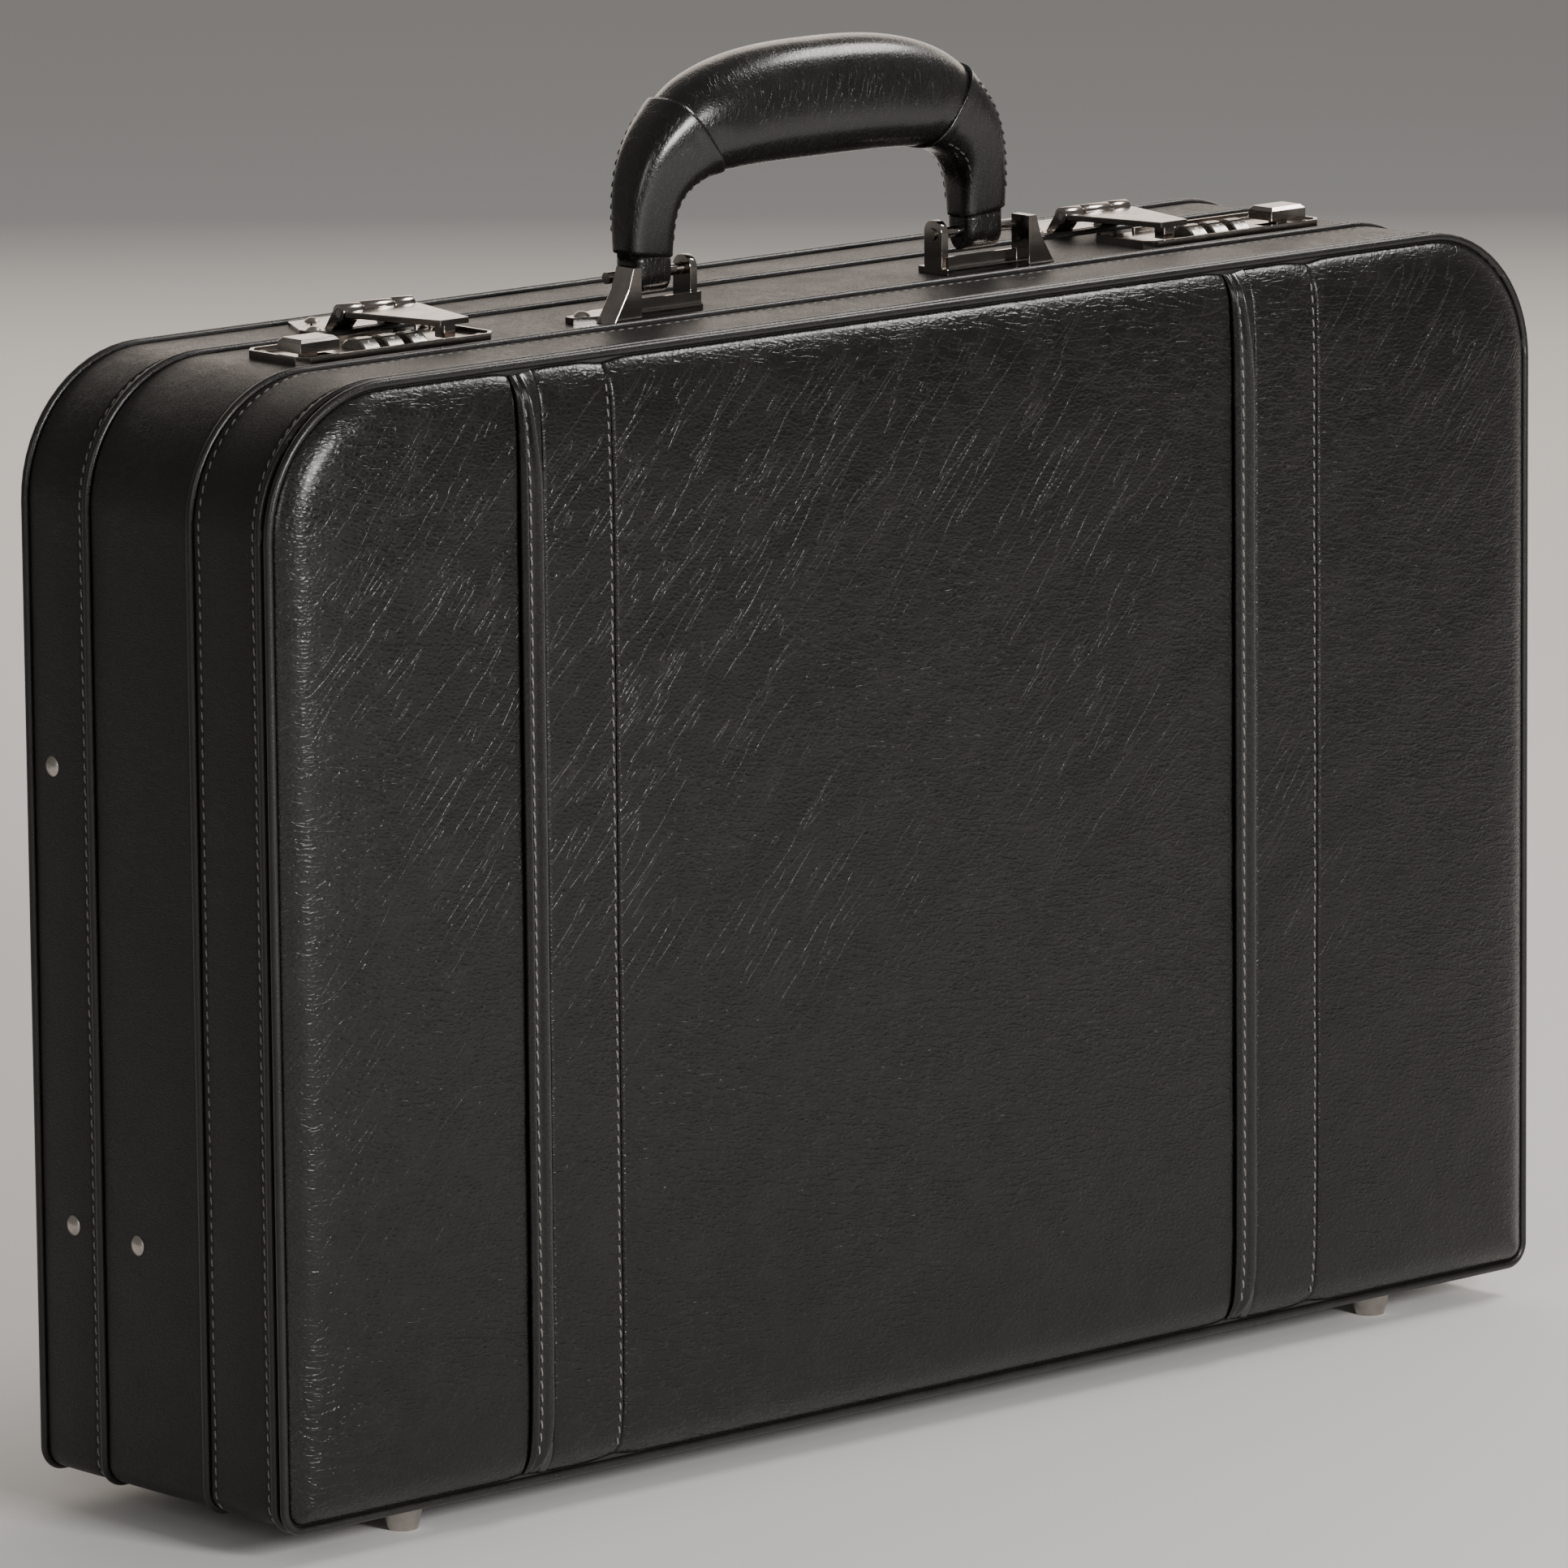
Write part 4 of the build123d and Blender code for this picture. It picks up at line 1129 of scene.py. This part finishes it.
def stitchSleeves():
    # two rows on each face of each sleeve
    share = np.linspace(sleeveRows["from"], handle["seam"] - sleeveRows["end"], 200)
    outer, inner = handleLine(share)
    centre, reach = (outer + inner) / 2, (outer - inner) / 2
    sideways = reach / np.linalg.norm(reach, axis=1, keepdims=True)
    depth = handleDepth(share) + sleeveRows["lift"]
    power = legPower(share)
    lean, forward = sleeveRows["lean"]
    for side, sign in (("left", 1), ("right", -1)):
        for where, facing in (("front", -1), ("rear", 1)):
            for row, edge in (("outer", 1), ("inner", -1)):
                u = edge * np.sin(sleeveRows["angle"]) ** (2 / power)
                v = facing * np.cos(sleeveRows["angle"]) ** (2 / power)
                x, z = (centre + reach * u[:, None] * sleeveRows["outward"]).T
                path = np.stack([x, handle["y"] + depth * v, z], 1)
                leanX, leanZ = (sideways * edge * lean).T
                up = np.stack([leanX, np.full(len(u), facing * forward), leanZ], 1)
                name = f"stitches_sleeve_{side}_{where}_{row}"
                turned = [sign, 1, 1]
                stitchRow(name, path * turned, up * turned, "darkThread", "handle", sleeveRows["stitch"])


digit = {"size": 2.9 * mm, "thick": 0.04 * mm, "count": 10}


def digitOutline(text):
    curve = bpy.data.curves.new("digit", "FONT")
    curve.body = text
    curve.align_x, curve.align_y = "CENTER", "CENTER"
    curve.size = digit["size"]
    curve.extrude = digit["thick"]
    holder = putIn(bpy.data.objects.new("digit", curve))
    mesh = bpy.data.meshes.new_from_object(holder.evaluated_get(bpy.context.evaluated_depsgraph_get()))
    points = np.array([vertex.co[:] for vertex in mesh.vertices])
    faces = [list(polygon.vertices) for polygon in mesh.polygons]
    bpy.data.objects.remove(holder)
    return points, faces


def makeDigits():
    # the figures 0 to 9 round each wheel, wrapped on the wheel's cylinder
    shapes = [digitOutline(str(number)) for number in range(digit["count"])]
    for side in ("left", "right"):
        for number in (1, 2, 3):
            node = f"dial_{side}_{number}"
            low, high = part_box(node)
            middle, radius = (low + high) / 2, (high.z - low.z) / 2
            points, faces, start = [], [], 0
            for figure, (shape, polygons) in enumerate(shapes):
                angle = 2 * np.pi * (figure + number) / digit["count"] + shape[:, 1] / radius
                out = radius + 0.01 * mm + shape[:, 2]
                across, up = middle.y + out * np.sin(angle), middle.z + out * np.cos(angle)
                points.append(np.stack([middle.x + shape[:, 0], across, up], 1))
                faces += [[vertex + start for vertex in polygon] for polygon in polygons]
                start += len(shape)
            makeMesh(f"figures_{side}_{number}", np.concatenate(points), faces, "ink", node)


pocket = {
    "skin": 1.2 * mm,
    "bow": 1.5 * mm,
    "corner": 12 * mm,
    "backBow": 0.35,  # the back tier's bow, as a share of the front one's
    "backGap": 0.2 * mm,
    "frontGap": 1.3 * mm,
    "step": 45 * mm,  # how far the front tier's edge is below the back one's
    "hem": 4 * mm,
    "hemGroove": 0.25 * mm,
    "hemWidth": 0.6 * mm,
    "rowLift": 0.05 * mm,
    "bowAcross": 0.5,  # powers of the bow's cosine across and sine upwards
    "bowUpright": 0.7,
    "unevenness": 0.12 * mm,
}


def pocketBow(x, half, bow):
    # a cosine to a power, full at the middle and nothing at the sides
    return pocket["bow"] * bow * np.cos(x / half * halfPi) ** pocket["bowAcross"]


def makePocket():
    # two tiers with round lower corners, bowed out by the cosine across and a sine upwards, and grooved
    # by a bell along the hem
    low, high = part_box("document_pocket")
    hem = pocket["hem"]
    tiers = {
        "back": (high.y - pocket["backGap"], high.z, pocket["backBow"]),
        "front": (low.y + pocket["frontGap"], high.z - pocket["step"], 1.0),
    }
    corner = pocket["corner"]
    for tier, (y, top, bow) in tiers.items():
        x = spread(low.x, high.x, 4 * mm, corner, corner, 14)
        into = np.clip(np.abs(x) - (high.x - corner), 0, corner)
        foot = low.z + corner - np.sqrt(corner**2 - into**2)
        share = spread(0, 1, 0.02, 0.05, 0.02, 8)
        z = foot[:, None] + (top - foot)[:, None] * share
        x = np.repeat(x[:, None], len(share), 1)
        out = pocketBow(x, high.x, bow) * np.sin(share * halfPi) ** pocket["bowUpright"]
        out = out + pocket["unevenness"] * ripple(x, z, 60 * mm, 4) * share
        edge = np.minimum(np.minimum(high.x - np.abs(x), z - foot[:, None]), top - z)
        out = out - pocket["hemGroove"] * np.exp(-(((edge - hem) / pocket["hemWidth"]) ** 2))
        points = np.stack([x, y - out, z], -1)
        piece = sheetPiece("pocket_" + tier, points, "band", "lid", pocket["skin"])
        if tier == "front":
            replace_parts(piece, "document_pocket")
        x = np.linspace(low.x + 1.5 * hem, high.x - 1.5 * hem, 300)
        y = y - pocketBow(x, high.x, bow) - pocket["rowLift"]
        path = np.stack([x, y, np.full_like(x, top - hem)], 1)
        up = np.tile([0, -1, 0], (len(x), 1))
        stitches = stitchRow("stitches_pocket_" + tier, path, up, "thread", "lid")
        size = (high.x - low.x, top - low.z)


def bothSides(*names):
    return [f"{name}_{side}" for name in names for side in ("left", "right")]


nodeFinish = {
    "board": ["case_frame", "lid_frame", "front_board", "lid_board"],
    "piping": ["front_double_piping", "band_piping", "lid_edge_piping", "rear_piping"],
    "band": ["rim_lip"],
    "lining": ["case_lining", "lid_lining"],
    "steel": ["hinge_leaf_case", "hinge_leaf_lid", "hinge_pin", "handle_core", "dial_axles", "hasp_pins"]
    + bothSides("stay_rail", "stay_arm"),
    "nickel": ["front_feet", "rear_feet", "case_rivets", "lid_rivets", "stay_pivots", "bracket_rivets"],
    "gunmetal": ["handle_pins"]
    + bothSides("lock_body", "handle_bracket", "hasp_plate", "hasp", "slide_button"),
    "wheel": [f"{dial}_{number}" for dial in bothSides("dial") for number in (1, 2, 3)],
}
roundedNodes = {"gunmetal": 0.25 * mm, "nickel": 0.2 * mm}


def finishNodes():
    for finish, names in nodeFinish.items():
        for name in names:
            for place in nodes[name].material_slots:
                place.material = finishes[finish]
            if finish in roundedNodes:
                nodes[name].modifiers.new("join", "WELD").merge_threshold = 0.002 * mm
                edge = nodes[name].modifiers.new("edge", "BEVEL")
                edge.width = roundedNodes[finish]
                edge.segments = 2
                edge.limit_method = "ANGLE"
                edge.angle_limit = np.radians(40)
                edge.harden_normals = False


studio = {
    "reach": 12.0,
    "skyColour": (1, 0.965, 0.93, 1),
    "skyStrength": 0.22,
    "drift": 1.5,  # scale of the floor's change of tone
    "tones": ((0.80, 0.79, 0.775), (0.84, 0.83, 0.82)),
    "rough": (0.7, 0.1),
    "tooth": 500,
    "bump": 0.05 * mm,
}


def floorPaint():
    finish = Finish("palePaper")
    drift = finish.noise(finish.place(), studio["drift"], 3)
    least, more = studio["rough"]
    tooth = finish.noise(finish.place(), studio["tooth"], 2)
    return finish.close(finish.mix(drift, *studio["tones"]), drift * more + least, tooth, studio["bump"], {})


def makeFloor():
    reach = studio["reach"]
    mesh = bpy.data.meshes.new("floor")
    corners = [(-reach, -reach, 0), (reach, -reach, 0), (reach, reach, 0), (-reach, reach, 0)]
    mesh.from_pydata(corners, [], [(0, 1, 2, 3)])
    mesh.materials.append(floorPaint())
    putIn(bpy.data.objects.new("floor", mesh))
    world = bpy.data.worlds.new("studio")
    world.use_nodes = True
    sky = world.node_tree.nodes["Background"]
    sky.inputs["Color"].default_value = studio["skyColour"]
    sky.inputs["Strength"].default_value = studio["skyStrength"]
    bpy.context.scene.world = world


aimCamera()
hangLamps()
makeFloor()
print("camera, floor and lamps set")
makeFrontPanels()
makeRibs()
makeRearPanel()
print("front and rear padded")
makeBand("front_band_leather", "case_body")
makeBand("middle_band_leather", "case_body")
makeBand("lid_band_leather", "lid")
print("bands sewn")
makeSleeves()
makeGrip()
stitchSleeves()
print("handle covered")
makeDigits()
makePocket()
finishNodes()
print("fittings finished")
